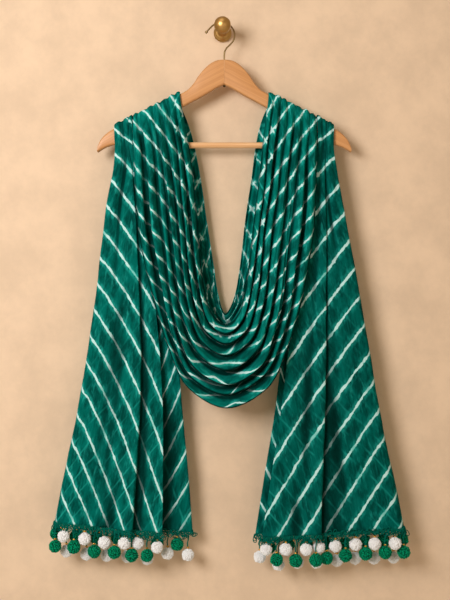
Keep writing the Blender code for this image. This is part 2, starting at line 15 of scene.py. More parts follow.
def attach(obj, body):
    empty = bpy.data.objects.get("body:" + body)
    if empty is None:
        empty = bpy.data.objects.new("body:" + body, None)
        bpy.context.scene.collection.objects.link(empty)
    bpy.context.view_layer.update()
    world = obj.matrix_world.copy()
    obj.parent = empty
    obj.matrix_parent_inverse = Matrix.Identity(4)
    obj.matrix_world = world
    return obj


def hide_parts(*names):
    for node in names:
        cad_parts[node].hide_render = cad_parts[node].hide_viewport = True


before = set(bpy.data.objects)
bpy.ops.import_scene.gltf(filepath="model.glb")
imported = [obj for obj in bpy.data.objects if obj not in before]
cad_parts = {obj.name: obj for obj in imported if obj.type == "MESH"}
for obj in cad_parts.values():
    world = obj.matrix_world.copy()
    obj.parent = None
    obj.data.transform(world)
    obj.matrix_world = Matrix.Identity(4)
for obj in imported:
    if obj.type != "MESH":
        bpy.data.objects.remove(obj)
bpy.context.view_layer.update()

bl_info = {
    "name": "Leheriya Dupatta Stole",
    "version": (1, 0, 0),
    "blender": (4, 5, 0),
    "location": "View3D > Sidebar > Dupatta",
    "description": "Dresses the packed frame of a dupatta stole on its hanger",
    "category": "Object",
}

MM = 0.001
BODY = "root"

# Where the hanger hangs: its middle is a little to the side of the wall hook's axis
HANGER_X = 3.0 * MM
HANGER_Y = -32.0 * MM

# How finely the cloth is made
STATIONS_PER_STEP = 5
SAMPLES_PER_FOLD = 16
SAMPLES_PER_LAYER_ROW = 8
TURN_SEGMENTS = 8

# How round a swag's valleys are, and how wide at the arms and in the middle
VALLEY_ROUNDING = 0.14
ARM_SOFTNESS = 1.2
MIDDLE_SOFTNESS = 1.9

# Grooves along a swag's ridges, as shares of a fold: how deep, their least depth before they
# drift, how wide, and how far they shift to the side
GROOVE_DEPTH = 0.55
GROOVE_LEAST = 0.2
GROOVE_WIDTH = 0.10
GROOVE_SHIFT = 0.18

# How unevenly a swag's folds fall: how far a valley moves and how much a ridge's fullness varies,
# and for each drift its step from fold to fold, how many stations it goes on for and its start
VALLEY_DRIFT = 0.030
FULLNESS_DRIFT = 0.42
FOLD_DRIFTS = {
    "valley": (3.7, 3.2, 0.0),
    "fullness": (5.3, 3.2, 9.0),
    "groove": (2.1, 2.4, 5.0),
    "groove_place": (4.9, 3.2, 3.0),
}

# Painted shade in a swag's folds: their colour darkens below this share of their height, over this
# much of it, where the folds are at least this deep, in mm
DARK_BELOW = 0.50
DARK_OVER = 0.42
FULL_FOLD = 6.0

# How strongly painted shade darkens a swag's folds at the arms, and how many metres down it is whole
ARM_DARKNESS = 0.55
DARK_FROM = 0.60

# Hollows, for painted shade: over how many points to each side a narrow and a wide one are
# measured, and how deep one has to be to take full painted shade; an underside takes painted
# shade from this slope, over so much more of it
HOLLOW_SPANS = (8, 24)
HOLLOW_DEPTH = 4.0 * MM
UNDERSIDE = 0.10
UNDERSIDE_RANGE = 0.60

# Wrinkles: how far apart across and along the cloth, and how deep
WRINKLES = (
    (15.0 * MM, 70.0 * MM, 1.3 * MM),
    (5.0 * MM, 26.0 * MM, 0.35 * MM),
)

# A tail's wrinkles and creases start at this share by the arm and are whole this far down
RELIEF_AT_ARM = 0.25
RELIEF_WHOLE = 60.0 * MM

# A swag's stripes: the width of cloth they are laid out on, how much of it follows the folds, and
# how round and how unevenly they turn where they meet in the middle
SWAG_WIDTH = 122.0 * MM
FOLLOWS_FOLDS = 0.20
TURN_LENGTH = 9.0 * MM
TURN_SWAY = 60.0 * MM
TURN_SWAY_RATE = 1.7
TURN_REACH = 55.0 * MM

# A tail's stripes: how far they keep to the lengths over its folds, and on the back layer how
# much shorter they get and how far they have run at its free edge, in metres
TAIL_FOLLOWS_FOLDS = 0.14
BACK_LAYER_STRETCH = 0.17
BACK_LAYER_REACH = 0.38


def table(names, rows):
    """A table's columns by name, as arrays."""
    return {name: np.array(column, float) for name, column in zip(names.split(), zip(*rows))}


# Cowl, the swag in front, from behind an arm over its top and down to the middle. In mm: how far
# its inner and outer edges are out from the middle on the left and right, and how high; how far
# they stand off the hanger's plane; the way the cloth faces there in degrees, from -90 behind the
# arm over 0 on top to 90 in front; half the depth of its folds and how they lean; which column of
# the fold table holds; and how many steps lead to the next row.
SWAG_COLUMNS = ("in_left in_right in_z out_left out_right out_z in_off out_off face fold lean belly "
                "column steps")
COWL = table(SWAG_COLUMNS, (
    (78, 78, -134, 161.2, 162.2, -177.4, 10, 10, -90, 1.4, 0, 0, 0, 1),
    (78, 78, -122, 161.2, 162.2, -164.8, 10, 10, -90, 1.5, 0, 0, 0, 1),
    (78, 78, -118, 161.2, 162.2, -160.8, 7.6, 7.6, -45, 1.5, 0, 0, 0, 1),
    (78, 78, -116, 161.2, 162.2, -159.2, 3.6, 3.6, 0, 1.5, 0, 0, 0, 1),
    (78, 78, -118, 161.2, 162.2, -160.8, 7.8, 7.8, 45, 1.6, 0, 0, 0, 1),
    (77.5, 77.5, -121.5, 161.2, 162.6, -164.8, 11.4, 11.8, 90, 1.8, 0, 0, 0.1, 1),
    (75, 76, -140, 160.9, 163, -188.6, 14, 16.4, 90, 3.4, 4, 1, 0.3, 1),
    (71, 73, -165, 159.4, 162.6, -222.4, 15.6, 23, 90, 4.8, 10, 2, 0.6, 1),
    (62, 67, -214, 156.5, 161, -282, 17.6, 29, 90, 6, 12, 3, 0.9, 1),
    (54, 61.5, -273, 150, 157, -361, 20, 33, 90, 6.6, 14, 4, 1, 1),
    (48, 53, -340, 137, 146, -430, 22.5, 37, 90, 7.2, 16, 5, 1.2, 1),
    (43, 46, -406, 119.5, 132, -499, 25, 41, 90, 7.8, 16, 6, 1.5, 1),
    (36, 38, -461, 97, 110, -566, 27.5, 45, 90, 8.4, 16, 7, 1.8, 2),
    (22, 26, -504, 64, 77, -632, 30, 49, 90, 9.2, 16, 8, 2, 2),
    (-3, 3, -524, -5, 5, -668, 31, 51, 90, 9.8, 16, 8, 2, 0),
))

# Cowl folds, a row for each valley from the inner edge to the outer: its share of the width at
# the arms, halfway down and in the middle, and how full the next fold is at each
COWL_FOLDS = table("arm half middle arm_rise half_rise middle_rise", (
    (0.00, 0.00, 0.00, 1, 0.7, 0.9),
    (0.14, 0.10, 0.13, 0.9, 0.9, 0.8),
    (0.28, 0.21, 0.26, 1, 0.8, 1),
    (0.42, 0.34, 0.41, 0.8, 1, 1.1),
    (0.57, 0.48, 0.58, 1, 0.6, 1.1),
    (0.71, 0.61, 0.73, 0.9, 1.1, 1),
    (0.86, 0.80, 0.87, 1, 1, 0.9),
    (1.00, 1.00, 1.00, 1, 1, 1),
))

# Back swag, behind the hanger, from an arm to the middle, with the cowl's columns
BACK_SWAG = table(SWAG_COLUMNS, (
    (78, 78, -134.5, 193, 193, -194.5, 11, 11, -90, 2, 0, 0, 0, 1),
    (67, 67, -160, 189, 189, -238, 13.5, 13.5, -90, 3.4, 6, 0, 0.3, 1),
    (55, 57.5, -200, 178, 180, -300, 16, 15.5, -90, 4.4, 12, 0, 0.6, 1),
    (42, 48.5, -270, 158, 160, -380, 17, 16, -90, 5, 18, 0, 1, 1),
    (32.5, 38.5, -340, 132, 134, -450, 17.5, 16, -90, 5.2, 26, 0, 1.3, 1),
    (22, 31, -410, 100, 104, -512, 17.5, 16, -90, 5.4, 34, 0, 1.6, 2),
    (12, 20, -474, 58, 62, -562, 17.5, 16.5, -90, 5.6, 40, 0, 2, 2),
    (-2, 2, -506, -3, 3, -588, 17.5, 17, -90, 5.6, 40, 0, 2, 0),
))

BACK_FOLDS = table("arm half middle arm_rise half_rise middle_rise", (
    (0.00, 0.00, 0.00, 0.3, 0.4, 0.7),
    (0.08, 0.06, 0.08, 0.2, 0.3, 0.8),
    (0.16, 0.12, 0.17, 0.3, 0.4, 0.7),
    (0.26, 0.20, 0.26, 0.9, 1, 0.8),
    (0.49, 0.40, 0.45, 1, 0.9, 1),
    (0.75, 0.70, 0.72, 0.9, 0.8, 0.9),
    (1.00, 1.00, 1.00, 1, 1, 1),
))

# Tails, from behind an arm over its top and down to the hem. A tail is folded along its length
# about its outer edge. In mm: the outer edge, the free edge of its front layer and that of its
# back layer; how far each layer stands off the hanger's plane; the way it faces; how far the
# folds have gone from their size at the arm to that at the hem; and the steps to the next row.
TAIL_COLUMNS = "outer_x outer_z edge_x edge_z back_x back_z back_off front_off face spread steps"
TAIL_LEFT = table(TAIL_COLUMNS, (
    (-193, -194.1, -161.8, -177.8, -162, -177.9, 8.6, 11.6, -90, 0, 1),
    (-193, -182, -161.8, -166, -162, -166, 8.6, 11.6, -90, 0, 1),
    (-193, -178, -161.8, -162, -162, -162, 6.6, 9.4, -45, 0, 1),
    (-193, -176, -161.8, -160, -162, -160, 1.8, 4.4, 0, 0, 1),
    (-193, -178, -161.8, -162, -162, -162, 6.8, 9.8, 45, 0, 1),
    (-192.5, -182.5, -161.8, -166.5, -162, -166.5, 9.2, 12.4, 90, 0.02, 1),
    (-191, -217, -160.5, -212, -160, -212, 9, 13.2, 90, 0.06, 1),
    (-194.5, -252, -152, -252, -152, -252, 9, 14.2, 90, 0.12, 1),
    (-205, -304, -141, -304, -138, -304, 8.8, 15.4, 90, 0.2, 2),
    (-215.5, -392, -130, -392, -116, -392, 8.5, 17.6, 90, 0.32, 2),
    (-226, -479, -121, -479, -99, -479, 8, 20, 90, 0.45, 2),
    (-239, -573, -112, -573, -82, -573, 8, 23, 90, 0.6, 2),
    (-256, -672, -106.5, -674, -73, -676, 8, 27, 90, 0.75, 2),
    (-276, -768, -106, -775, -63.5, -778, 8, 31, 90, 0.9, 2),
    (-296, -866, -107, -885, -55, -890, 8, 34, 90, 1, 0),
))
TAIL_RIGHT = table(TAIL_COLUMNS, (
    (193, -194.1, 162.8, -178.3, 163, -178.4, 8.6, 11.6, -90, 0, 1),
    (193, -182, 162.8, -166, 163, -166, 8.6, 11.6, -90, 0, 1),
    (193, -178, 162.8, -162, 163, -162, 6.6, 9.4, -45, 0, 1),
    (193, -176, 162.8, -160, 163, -160, 1.8, 4.4, 0, 0, 1),
    (193, -178, 162.8, -162, 163, -162, 6.8, 9.8, 45, 0, 1),
    (192.5, -182.5, 163.4, -166.5, 163.6, -166.5, 9.2, 12.4, 90, 0.02, 1),
    (192, -217, 163.6, -212, 163, -212, 9, 13.2, 90, 0.06, 1),
    (197, -250, 156, -252, 154, -252, 9, 14.2, 90, 0.12, 1),
    (206, -304, 148, -304, 140, -304, 8.8, 15.4, 90, 0.2, 2),
    (223, -392, 136, -392, 125, -392, 8.5, 17.6, 90, 0.32, 2),
    (238, -479, 122, -479, 111, -479, 8, 20, 90, 0.45, 2),
    (254.5, -573, 111, -573, 101, -573, 8, 23, 90, 0.6, 2),
    (272, -676, 98, -676, 88.5, -676, 8, 27, 90, 0.75, 2),
    (292, -775, 82, -780, 71.5, -781, 8, 31, 90, 0.9, 2),
    (314, -876, 65, -893, 54, -892, 8, 34, 90, 1, 0),
))

# Folds down a tail's layers, a row for each point of the section from the outer edge to the free
# edge: its share of the layer and its rise in mm, at the arm and at the hem. Where the share goes
# back, a pleat lies over the cloth beside it.
FOLD_COLUMNS = "arm_share hem_share arm_rise hem_rise"
LEFT_FRONT_FOLDS = table(FOLD_COLUMNS, (
    (0.00, 0.00, 0, 0),
    (0.20, 0.12, 1.2, 1),
    (0.36, 0.31, -0.6, -0.8),
    (0.53, 0.50, 1.2, 0.8),
    (0.66, 0.645, 1.2, 5.8),
    (0.735, 0.695, 1, 7),
    (0.755, 0.705, 0.4, 2.4),
    (0.765, 0.695, -0.4, -3.8),
    (0.80, 0.73, -0.8, -5.6),
    (0.90, 0.86, 1.2, -2.4),
    (1.00, 1.00, 0, -2.4),
))
RIGHT_FRONT_FOLDS = table(FOLD_COLUMNS, (
    (0.00, 0.00, 0, 0),
    (0.18, 0.12, 1.2, 1),
    (0.31, 0.33, -0.8, -1.2),
    (0.38, 0.50, 0.2, -3.8),
    (0.425, 0.575, -0.4, -5.6),
    (0.44, 0.585, 0.4, -2.4),
    (0.445, 0.565, 1, 3),
    (0.47, 0.58, 1.2, 7),
    (0.54, 0.64, 1.2, 6),
    (0.66, 0.75, -0.8, -0.6),
    (0.84, 0.90, 1.2, 2.6),
    (1.00, 1.00, 0, -2.6),
))
TAIL_BACK_FOLDS = table(FOLD_COLUMNS, (
    (0.00, 0.00, 0, 0),
    (0.30, 0.24, 0.3, 2.2),
    (0.55, 0.48, -0.3, -2.8),
    (0.78, 0.74, 0.3, 2.8),
    (1.00, 1.00, 0, -1.5),
))

# Creases listed for each piece, in mm of cloth: from (across, along) to (across, along),
# how wide, and how far the cloth rises there, or sinks where that is negative
CREASE_COLUMNS = "from_across from_along to_across to_along width rise"
COWL_CREASES = table(CREASE_COLUMNS, (
    (100, 40, 101, 470, 3.4, -6),
    (97, 700, 100, 1080, 3, -4),
    (14, 150, 20, 420, 3, -2.2),
    (35, 60, 43, 300, 2.6, -2),
    (53, 130, 68, 380, 3.4, -2.6),
    (74, 90, 81, 260, 2.6, -2),
    (108, 120, 114, 400, 3.4, 2),
    (112, 200, 107, 520, 2.8, -2.2),
    (23, 700, 30, 930, 3, -2.2),
    (45, 640, 56, 860, 3.2, 2),
    (65, 760, 73, 1010, 3.4, -2.6),
    (87, 660, 93, 900, 2.6, -2.2),
    (104, 600, 116, 820, 3.4, -2.4),
    (9, 390, 13, 520, 2.4, 1.8),
    (38, 430, 41, 610, 2.4, -2.2),
    (60, 470, 64, 640, 2.8, 2),
    (82, 480, 79, 640, 2.4, -2.2),
    (100, 470, 97, 620, 2.4, 1.8),
))
BACK_CREASES = table(CREASE_COLUMNS, (
    (17, 60, 34, 360, 4, -2.4),
    (55, 120, 63, 420, 4, 2),
    (40, 500, 48, 760, 4, -2.4),
    (71, 420, 77, 700, 3.6, -2),
    (12, 640, 23, 900, 3.6, 2),
    (96, 300, 104, 760, 4.4, -2.4),
))
LEFT_TAIL_CREASES = table(CREASE_COLUMNS, (
    (8, 20, 20, 260, 3.4, 2.2),
    (16, 10, 34, 330, 3.6, -2.4),
    (26, 40, 50, 420, 5, 1.8),
    (44, 330, 60, 700, 9, -2.6),
    (84, 420, 92, 760, 8, 2.4),
    (24, 480, 20, 740, 9, -2),
    (112, 200, 132, 520, 6, -2.8),
    (150, 300, 186, 700, 8, 2.4),
    (118, 640, 120, 780, 6, 1.8),
    (-30, 120, -60, 520, 9, 2.6),
    (-96, 260, -150, 700, 11, -2.8),
    (-190, 420, -214, 740, 8, 2.2),
))
RIGHT_TAIL_CREASES = table(CREASE_COLUMNS, (
    (8, 20, 18, 240, 3.4, 2.2),
    (18, 10, 36, 380, 3.8, -2.4),
    (52, 360, 66, 740, 9, 2.4),
    (88, 480, 96, 700, 8, -2.4),
    (124, 180, 160, 560, 6, -2.8),
    (150, 420, 196, 760, 9, 2.6),
    (196, 480, 226, 720, 8, -2.4),
    (-30, 120, -70, 480, 9, -2.6),
    (-110, 300, -160, 720, 11, 2.8),
    (-206, 460, -228, 740, 8, -2.2),
))

# How far a stripe runs along a swag while it crosses it, by how far down it is, in mm
STRIPE_RUNS = table("down run", (
    (0, 150),
    (160, 205),
    (330, 285),
    (650, 370),
))

# How the dyer's stripes slant on a tail: at so many mm down from the arm, how far a stripe runs
# down for each mm across
SLANT_COLUMNS = "down slant"
LEFT_SLANT = table(SLANT_COLUMNS, (
    (0, 1.80),
    (90, 1.48),
    (180, 1.36),
    (400, 1.45),
    (760, 1.75),
))
RIGHT_SLANT = table(SLANT_COLUMNS, (
    (0, 1.60),
    (90, 1.42),
    (180, 1.30),
    (400, 1.24),
    (760, 1.30),
))

# Hanger arm, from the joint in the middle to the tip, in mm: out from the middle, top and bottom,
# and whether the outline runs on in a curve from there
HANGER_ARM = table("out top bottom curved", (
    (0, -55.5, -100, 1),
    (12, -56.8, -105.5, 1),
    (23, -61.8, -112, 1),
    (34, -71, -118.5, 1),
    (45, -84, -124.5, 1),
    (53, -96.5, -128.5, 1),
    (62, -106.8, -133.5, 1),
    (72, -113.6, -139, 1),
    (84, -119.6, -145.5, 0),
    (130, -143.6, -169.5, 0),
    (176, -167.6, -192.5, 0),
    (176.3, -167.8, -213.5, 0),
    (188, -174, -213.5, 0),
    (192, -176.2, -206, 1),
    (205, -184, -209, 1),
    (216, -195, -214.5, 1),
    (222, -206.5, -218.5, 1),
    (223.5, -212.5, -217.5, 0),
))

# Its board and rounded edges, half the gap at the joint, and how its grain slopes, in degrees
ARM_THICKNESS = 13.0 * MM
ARM_ROUNDING = 4.2 * MM
ARM_CORNER_STEPS = 4
ARM_CURVE_STEPS = 5
ARM_JOINT_GAP = 0.15 * MM
ARM_SLOPE = 27.5

# The trouser bar between the arms' feet; its end is counted from the hanger's middle
BAR_RADIUS = 5.3 * MM
BAR_Z = -206.2 * MM
BAR_END = 175.7 * MM
BAR_SIDES = 32
BAR_STEPS = 24

# Hook wire, in mm from the hanger's middle, from the stem's foot over the wall hook to the tip
HOOK_WIRE = table("x z", (
    (0.0, -55.2),
    (0.0, -47.0),
    (0.8, -41.0),
    (4.5, -34.5),
    (11.0, -28.0),
    (16.5, -20.5),
    (18.3, -11.0),
    (16.5, -3.5),
    (12.0, 3.5),
    (5.0, 8.2),
    (-3.0, 9.3),
    (-11.0, 8.8),
    (-18.0, 6.6),
    (-25.0, 0.6),
    (-30.0, -5.0),
))
WIRE_RADIUS = 1.4 * MM
WIRE_SIDES = 14
WIRE_STEPS = 6

# The ball on its tip, and how many degrees from its pole its last ring is
WIRE_TIP_RADIUS = 2.6 * MM
WIRE_TIP_OFFSET = 2.3 * MM
WIRE_TIP_RINGS = 12
WIRE_TIP_LAST = 4.0

# The wire's lower end under the hanger's joint, from inside the wood down, in mm
HOOK_RIVET = table("z radius", (
    (-97.0, 1.5),
    (-99.6, 1.5),
    (-99.9, 2.6),
    (-101.6, 2.6),
    (-102.8, 1.9),
    (-103.4, 0.8),
))
RIVET_SIDES = 14

# Wall hook, in mm: distance from the wall and radius
WALL_HOOK = table("out radius", (
    (0.0, 15.6),
    (0.8, 16.0),
    (2.4, 16.0),
    (3.8, 15.5),
    (5.0, 14.4),
    (6.2, 12.8),
    (7.6, 11.4),
    (8.8, 9.4),
    (10.0, 8.3),
    (12.0, 7.8),
    (25.0, 7.6),
))
KNOB_SIDES = 64
KNOB_STEPS = 4

# Its ball, in mm, and how many degrees from its pole its last ring is
BALL_CENTRE = 54.0
BALL_RADIUS = 14.7
BALL_RINGS = 28
BALL_LAST = 3.0

# Pom-poms under the hems: from one to the next, how far below the hem the short and long ones
# hang, and how much longer the long ones are behind the front layer
POMPOM_PITCH = 17.6 * MM
SHORT_DROP = 21.0 * MM
LONG_DROP = 37.0 * MM
LONGER_BEHIND = 15.0 * MM

# The share of a tail's last step that its cloth stops short of the edging
HEM_CUT = 0.045

# What makes each swag and tail: its tables, its seed, which side of a tail's cloth faces out, the
# slant, pitch and start of its stripes, and how strongly painted shade darkens a swag's folds or a
# tail's whole dye
Swag = namedtuple("Swag", "rows folds creases seed slant pitch start darkness")
Tail = namedtuple("Tail", "rows front_folds creases seed facing slant pitch start shade")
SWAGS = {
    "cowl": Swag(COWL, COWL_FOLDS, COWL_CREASES, seed=2.0, slant=1.0, pitch=46.5 * MM,
                 start=12.0 * MM, darkness=1.0),
    "back_swag": Swag(BACK_SWAG, BACK_FOLDS, BACK_CREASES, seed=5.0, slant=-0.55, pitch=47.0 * MM,
                      start=0.0, darkness=0.0),
}
TAILS = {
    "left": Tail(TAIL_LEFT, LEFT_FRONT_FOLDS, LEFT_TAIL_CREASES, seed=4, facing=1.0,
                 slant=LEFT_SLANT, pitch=45.2 * MM, start=2.0 * MM, shade=0.17),
    "right": Tail(TAIL_RIGHT, RIGHT_FRONT_FOLDS, RIGHT_TAIL_CREASES, seed=5, facing=-1.0,
                  slant=RIGHT_SLANT, pitch=49.0 * MM, start=4.0 * MM, shade=0.34),
}


# ---------------------------------------------------------------- settings

def length_setting(name, description, default):
    """A size in metres."""
    return bpy.props.FloatProperty(name=name, description=description, default=default, min=0.0,
                                   precision=5, unit="LENGTH")


def share_setting(name, description, default):
    """A number from 0 to 1."""
    return bpy.props.FloatProperty(name=name, description=description, default=default, min=0.0,
                                   max=1.0, subtype="FACTOR")


def colour_setting(name, description, default):
    """A colour, scene linear."""
    return bpy.props.FloatVectorProperty(name=name, description=description, default=default,
                                         size=3, min=0.0, max=1.0, subtype="COLOR")


class ClothSettings(bpy.types.PropertyGroup):
    """The dyed cloth."""

    thickness: length_setting("Thickness", "Thickness of the cloth shell", 0.8 * MM)
    stripe_pitch: length_setting("Stripe pitch", "From stripe to stripe along the cloth", 46.0 * MM)
    stripe_width: length_setting("Stripe width", "Width of a white stripe", 3.2 * MM)
    halo_width: length_setting("Halo width", "How far the dye is pale beside a stripe", 8.0 * MM)
    green: colour_setting("Green", "The cloth's main green", (0.0, 0.156, 0.127))
    deep_green: colour_setting("Deep green", "Where the dye is darkest", (0.0, 0.064, 0.052))
    teal: colour_setting("Teal", "Half-resisted dye beside the stripes", (0.016, 0.430, 0.360))
    white: colour_setting("White", "Undyed stripe", (0.56, 0.81, 0.80))
    # Crease: the near-black colour of painted shade; crease shade: how far the deepest fold shade goes
    crease: colour_setting("Crease", "Dye in the depth of a fold", (0.0, 0.014, 0.011))
    crease_shade: share_setting("Crease shade", "How far the folds' depths take that colour", 0.88)
    sheen: share_setting("Sheen", "Soft gloss of the cloth's nap", 0.006)


class EdgingSettings(bpy.types.PropertyGroup):
    """The crocheted edging, pom-poms and beads."""

    pompom_radius: length_setting("Pom-pom radius", "Radius over the yarn ends", 11.2 * MM)
    tuft_length: length_setting("Tuft length", "Length of a yarn end", 5.2 * MM)
    tuft_width: length_setting("Tuft width", "Width of a yarn end", 3.3 * MM)
    bead_radius: length_setting("Bead radius", "Gold bead above a pom-pom", 2.4 * MM)
    thread: length_setting("Thread", "Radius of the crochet thread", 0.75 * MM)
    wool_green: colour_setting("Wool green", "Green pom-poms", (0.0, 0.340, 0.165))
    wool_white: colour_setting("Wool white", "White pom-poms", (0.96, 0.96, 0.97))
    thread_green: colour_setting("Thread green", "Crochet thread and cords", (0.0, 0.14, 0.10))
    gold: colour_setting("Gold", "Beads", (0.80, 0.42, 0.08))
    gold_dull: colour_setting("Dull gold", "Where the beads have dulled", (0.45, 0.20, 0.03))


class HangerSettings(bpy.types.PropertyGroup):
    """The wood and brass."""

    wood: colour_setting("Wood", "The hanger's wood", (0.68, 0.325, 0.118))
    wood_dark: colour_setting("Wood grain", "Darker lines of the grain", (0.54, 0.235, 0.078))
    bar_wood: colour_setting("Bar wood", "The trouser bar's wood", (0.88, 0.55, 0.290))
    brass: colour_setting("Brass", "Hook and wall hook", (0.72, 0.43, 0.15))
    wire: colour_setting("Wire", "The hanger's dulled brass hook", (0.36, 0.25, 0.11))
    # Rivet: the wire's real peened end, coloured near black as painted shade for the joint's dark gap
    rivet: colour_setting("Rivet", "The wire's blackened end under the joint", (0.06, 0.04, 0.02))
    tarnish: colour_setting("Tarnish", "Brass where it has dulled", (0.34, 0.180, 0.055))


class StageSettings(bpy.types.PropertyGroup):
    """The wall, floor and studio light."""

    wall: colour_setting("Wall", "The plain wall behind", (0.700, 0.518, 0.362))
    floor: colour_setting("Floor", "The plain floor", (0.80, 0.76, 0.70))
    key_power: bpy.props.FloatProperty(name="Key power", description="Strength of the key light",
                                       default=35.8, min=0.0, unit="POWER")
    fill_power: bpy.props.FloatProperty(name="Fill power", description="Strength of the fill light",
                                        default=5.0, min=0.0, unit="POWER")
    top_power: bpy.props.FloatProperty(name="Top power", description="Strength of the light above",
                                       default=3.0, min=0.0, unit="POWER")
    back_power: bpy.props.FloatProperty(name="Back power", description="Strength of the light behind",
                                        default=10.0, min=0.0, unit="POWER")


# ---------------------------------------------------------------- cloth shapes

def through(rows, at):
    """A smooth curve through a list of rows; at counts the rows from 0."""
    rows = np.asarray(rows, float)
    last = len(rows) - 1
    at = np.clip(np.asarray(at, float), 0.0, last)
    first = np.minimum(at.astype(int), last - 1)
    part = at - first
    if rows.ndim > 1:
        part = part[:, None]
    start = rows[first]
    end = rows[first + 1]
    leave = (end - rows[np.maximum(first - 1, 0)]) / 2.0
    arrive = (rows[np.minimum(first + 2, last)] - start) / 2.0
    square = part * part
    cube = square * part
    blend = 3.0 * square - 2.0 * cube
    return (start * (1.0 - blend) + end * blend
            + leave * (cube - 2.0 * square + part) + arrive * (cube - square))


def stations(steps, cut=0.0):
    """Where sections stand along a table, counted in rows; cut shortens the last."""
    places = []
    for row in range(len(steps) - 1):
        count = int(steps[row]) * STATIONS_PER_STEP
        places += [row + k / count for k in range(count)]
    return np.array(places + [len(steps) - 1.0 - cut])


def directions(face):
    """The way the cloth faces at each station: behind, on top or in front of the arm."""
    turn = np.radians(face)
    return np.stack([np.zeros_like(turn), -np.sin(turn), np.cos(turn)], axis=1)


def edge_line(x, z, off, facing):
    """An edge of the cloth: a line in the hanger's plane, moved out the way the cloth faces."""
    flat = np.stack([HANGER_X + x * MM, np.full_like(x, HANGER_Y), z * MM], axis=1)
    return flat + facing * (off * MM)[:, None]


def pleat_wave(phase, softness):
    """A wave from 0 in the valleys, at whole numbers, to 1 on round ridges between them; more
    softness makes the valleys wider."""
    height = np.abs(np.sin(math.pi * phase)) ** softness
    top = math.hypot(1.0, VALLEY_ROUNDING) - VALLEY_ROUNDING
    return (np.hypot(height, VALLEY_ROUNDING) - VALLEY_ROUNDING) / top


def drift(first, second, seed):
    """A slow uneven drift between -1 and 1."""
    return 2.0 * noise.noise(Vector((first, second, seed)))


def fold_drift(kind, fold, station, seed):
    """A drift from fold to fold and from station to station."""
    step, length, start = FOLD_DRIFTS[kind]
    return drift(fold * step, station / length, seed + start)


def swag_points(rows, folds, seed):
    """The middle surface of a swag between the arms, a grid of stations by places across, the
    same without its folds, and how much painted shade each point takes in the valleys of its folds,
    from 0 to 1."""
    def whole(left, right, sign=1.0):
        """A column from the left arm to the right one."""
        return np.concatenate([sign * rows[left], rows[right][-2::-1]])

    there = stations(rows["steps"])
    half_rows = len(rows["steps"]) - 1
    at = np.concatenate([there, (2 * half_rows - there)[-2::-1]])

    def column(name):
        """A column that is alike on both sides, at each station."""
        return through(whole(name, name), at)

    facing = directions(column("face"))
    inner = edge_line(through(whole("in_left", "in_right", -1.0), at), column("in_z"),
                      column("in_off"), facing)
    outer = edge_line(through(whole("out_left", "out_right", -1.0), at), column("out_z"),
                      column("out_off"), facing)
    across = outer - inner
    down = across / np.linalg.norm(across, axis=1)[:, None]
    lean = np.radians(column("lean"))[:, None]
    rise_way = facing * np.cos(lean) + down * np.sin(lean)

    count = len(folds["arm"]) - 1
    even = np.linspace(0.0, count, count * SAMPLES_PER_FOLD + 1)
    phase = even - np.sin(2.0 * math.pi * even) / (4.0 * math.pi)
    fold_index = np.minimum(even.astype(int), count - 1)
    which = column("column")
    shares = through(np.stack([folds["arm"], folds["half"], folds["middle"]]), which)
    fullness = through(np.stack([folds["arm_rise"], folds["half_rise"], folds["middle_rise"]]), which)
    softness = ARM_SOFTNESS + (MIDDLE_SOFTNESS - ARM_SOFTNESS) * which[:, None] / 2.0
    groove = np.zeros((len(at), len(phase)))
    for i, station in enumerate(at):
        for k in range(count):
            if k > 0:
                shares[i, k] += VALLEY_DRIFT * fold_drift("valley", k, station, seed)
            fullness[i, k] *= 1.0 + FULLNESS_DRIFT * fold_drift("fullness", k, station, seed)
            deep = GROOVE_DEPTH * max(0.0, GROOVE_LEAST + fold_drift("groove", k, station, seed))
            centre = k + 0.5 + GROOVE_SHIFT * fold_drift("groove_place", k, station, seed)
            groove[i] += deep * which[i] / 2.0 * np.exp(-((phase - centre) / GROOVE_WIDTH) ** 2)
    height = fullness[:, fold_index] * (pleat_wave(phase, softness) - groove)
    depth = (2.0 * height - 1.0) * column("fold")[:, None] * MM
    # Painted shade in the valleys of deep folds
    painted_valley_shade = np.clip((DARK_BELOW - height) / DARK_OVER, 0.0, 1.0)
    painted_valley_shade *= np.clip(column("fold") / FULL_FOLD, 0.0, 1.0)[:, None]

    base = np.empty((len(at), len(phase), 3))
    for i, valleys in enumerate(shares):
        share = np.interp(phase, np.arange(count + 1.0), valleys)[:, None]
        belly = 4.0 * share * (1.0 - share) * column("belly")[i] * MM
        base[i] = inner[i] + across[i] * share + facing[i] * belly
    return base + rise_way[:, None, :] * depth[:, :, None], base, painted_valley_shade


def layer_folds(folds, spread):
    """Places across one layer of a tail and their rise in metres."""
    share = folds["arm_share"] + (folds["hem_share"] - folds["arm_share"]) * spread
    rise = folds["arm_rise"] + (folds["hem_rise"] - folds["arm_rise"]) * spread
    last = len(share) - 1
    at = np.linspace(0.0, last, last * SAMPLES_PER_LAYER_ROW + 1)
    return through(share, at)[:, None], through(rise, at)[:, None] * MM


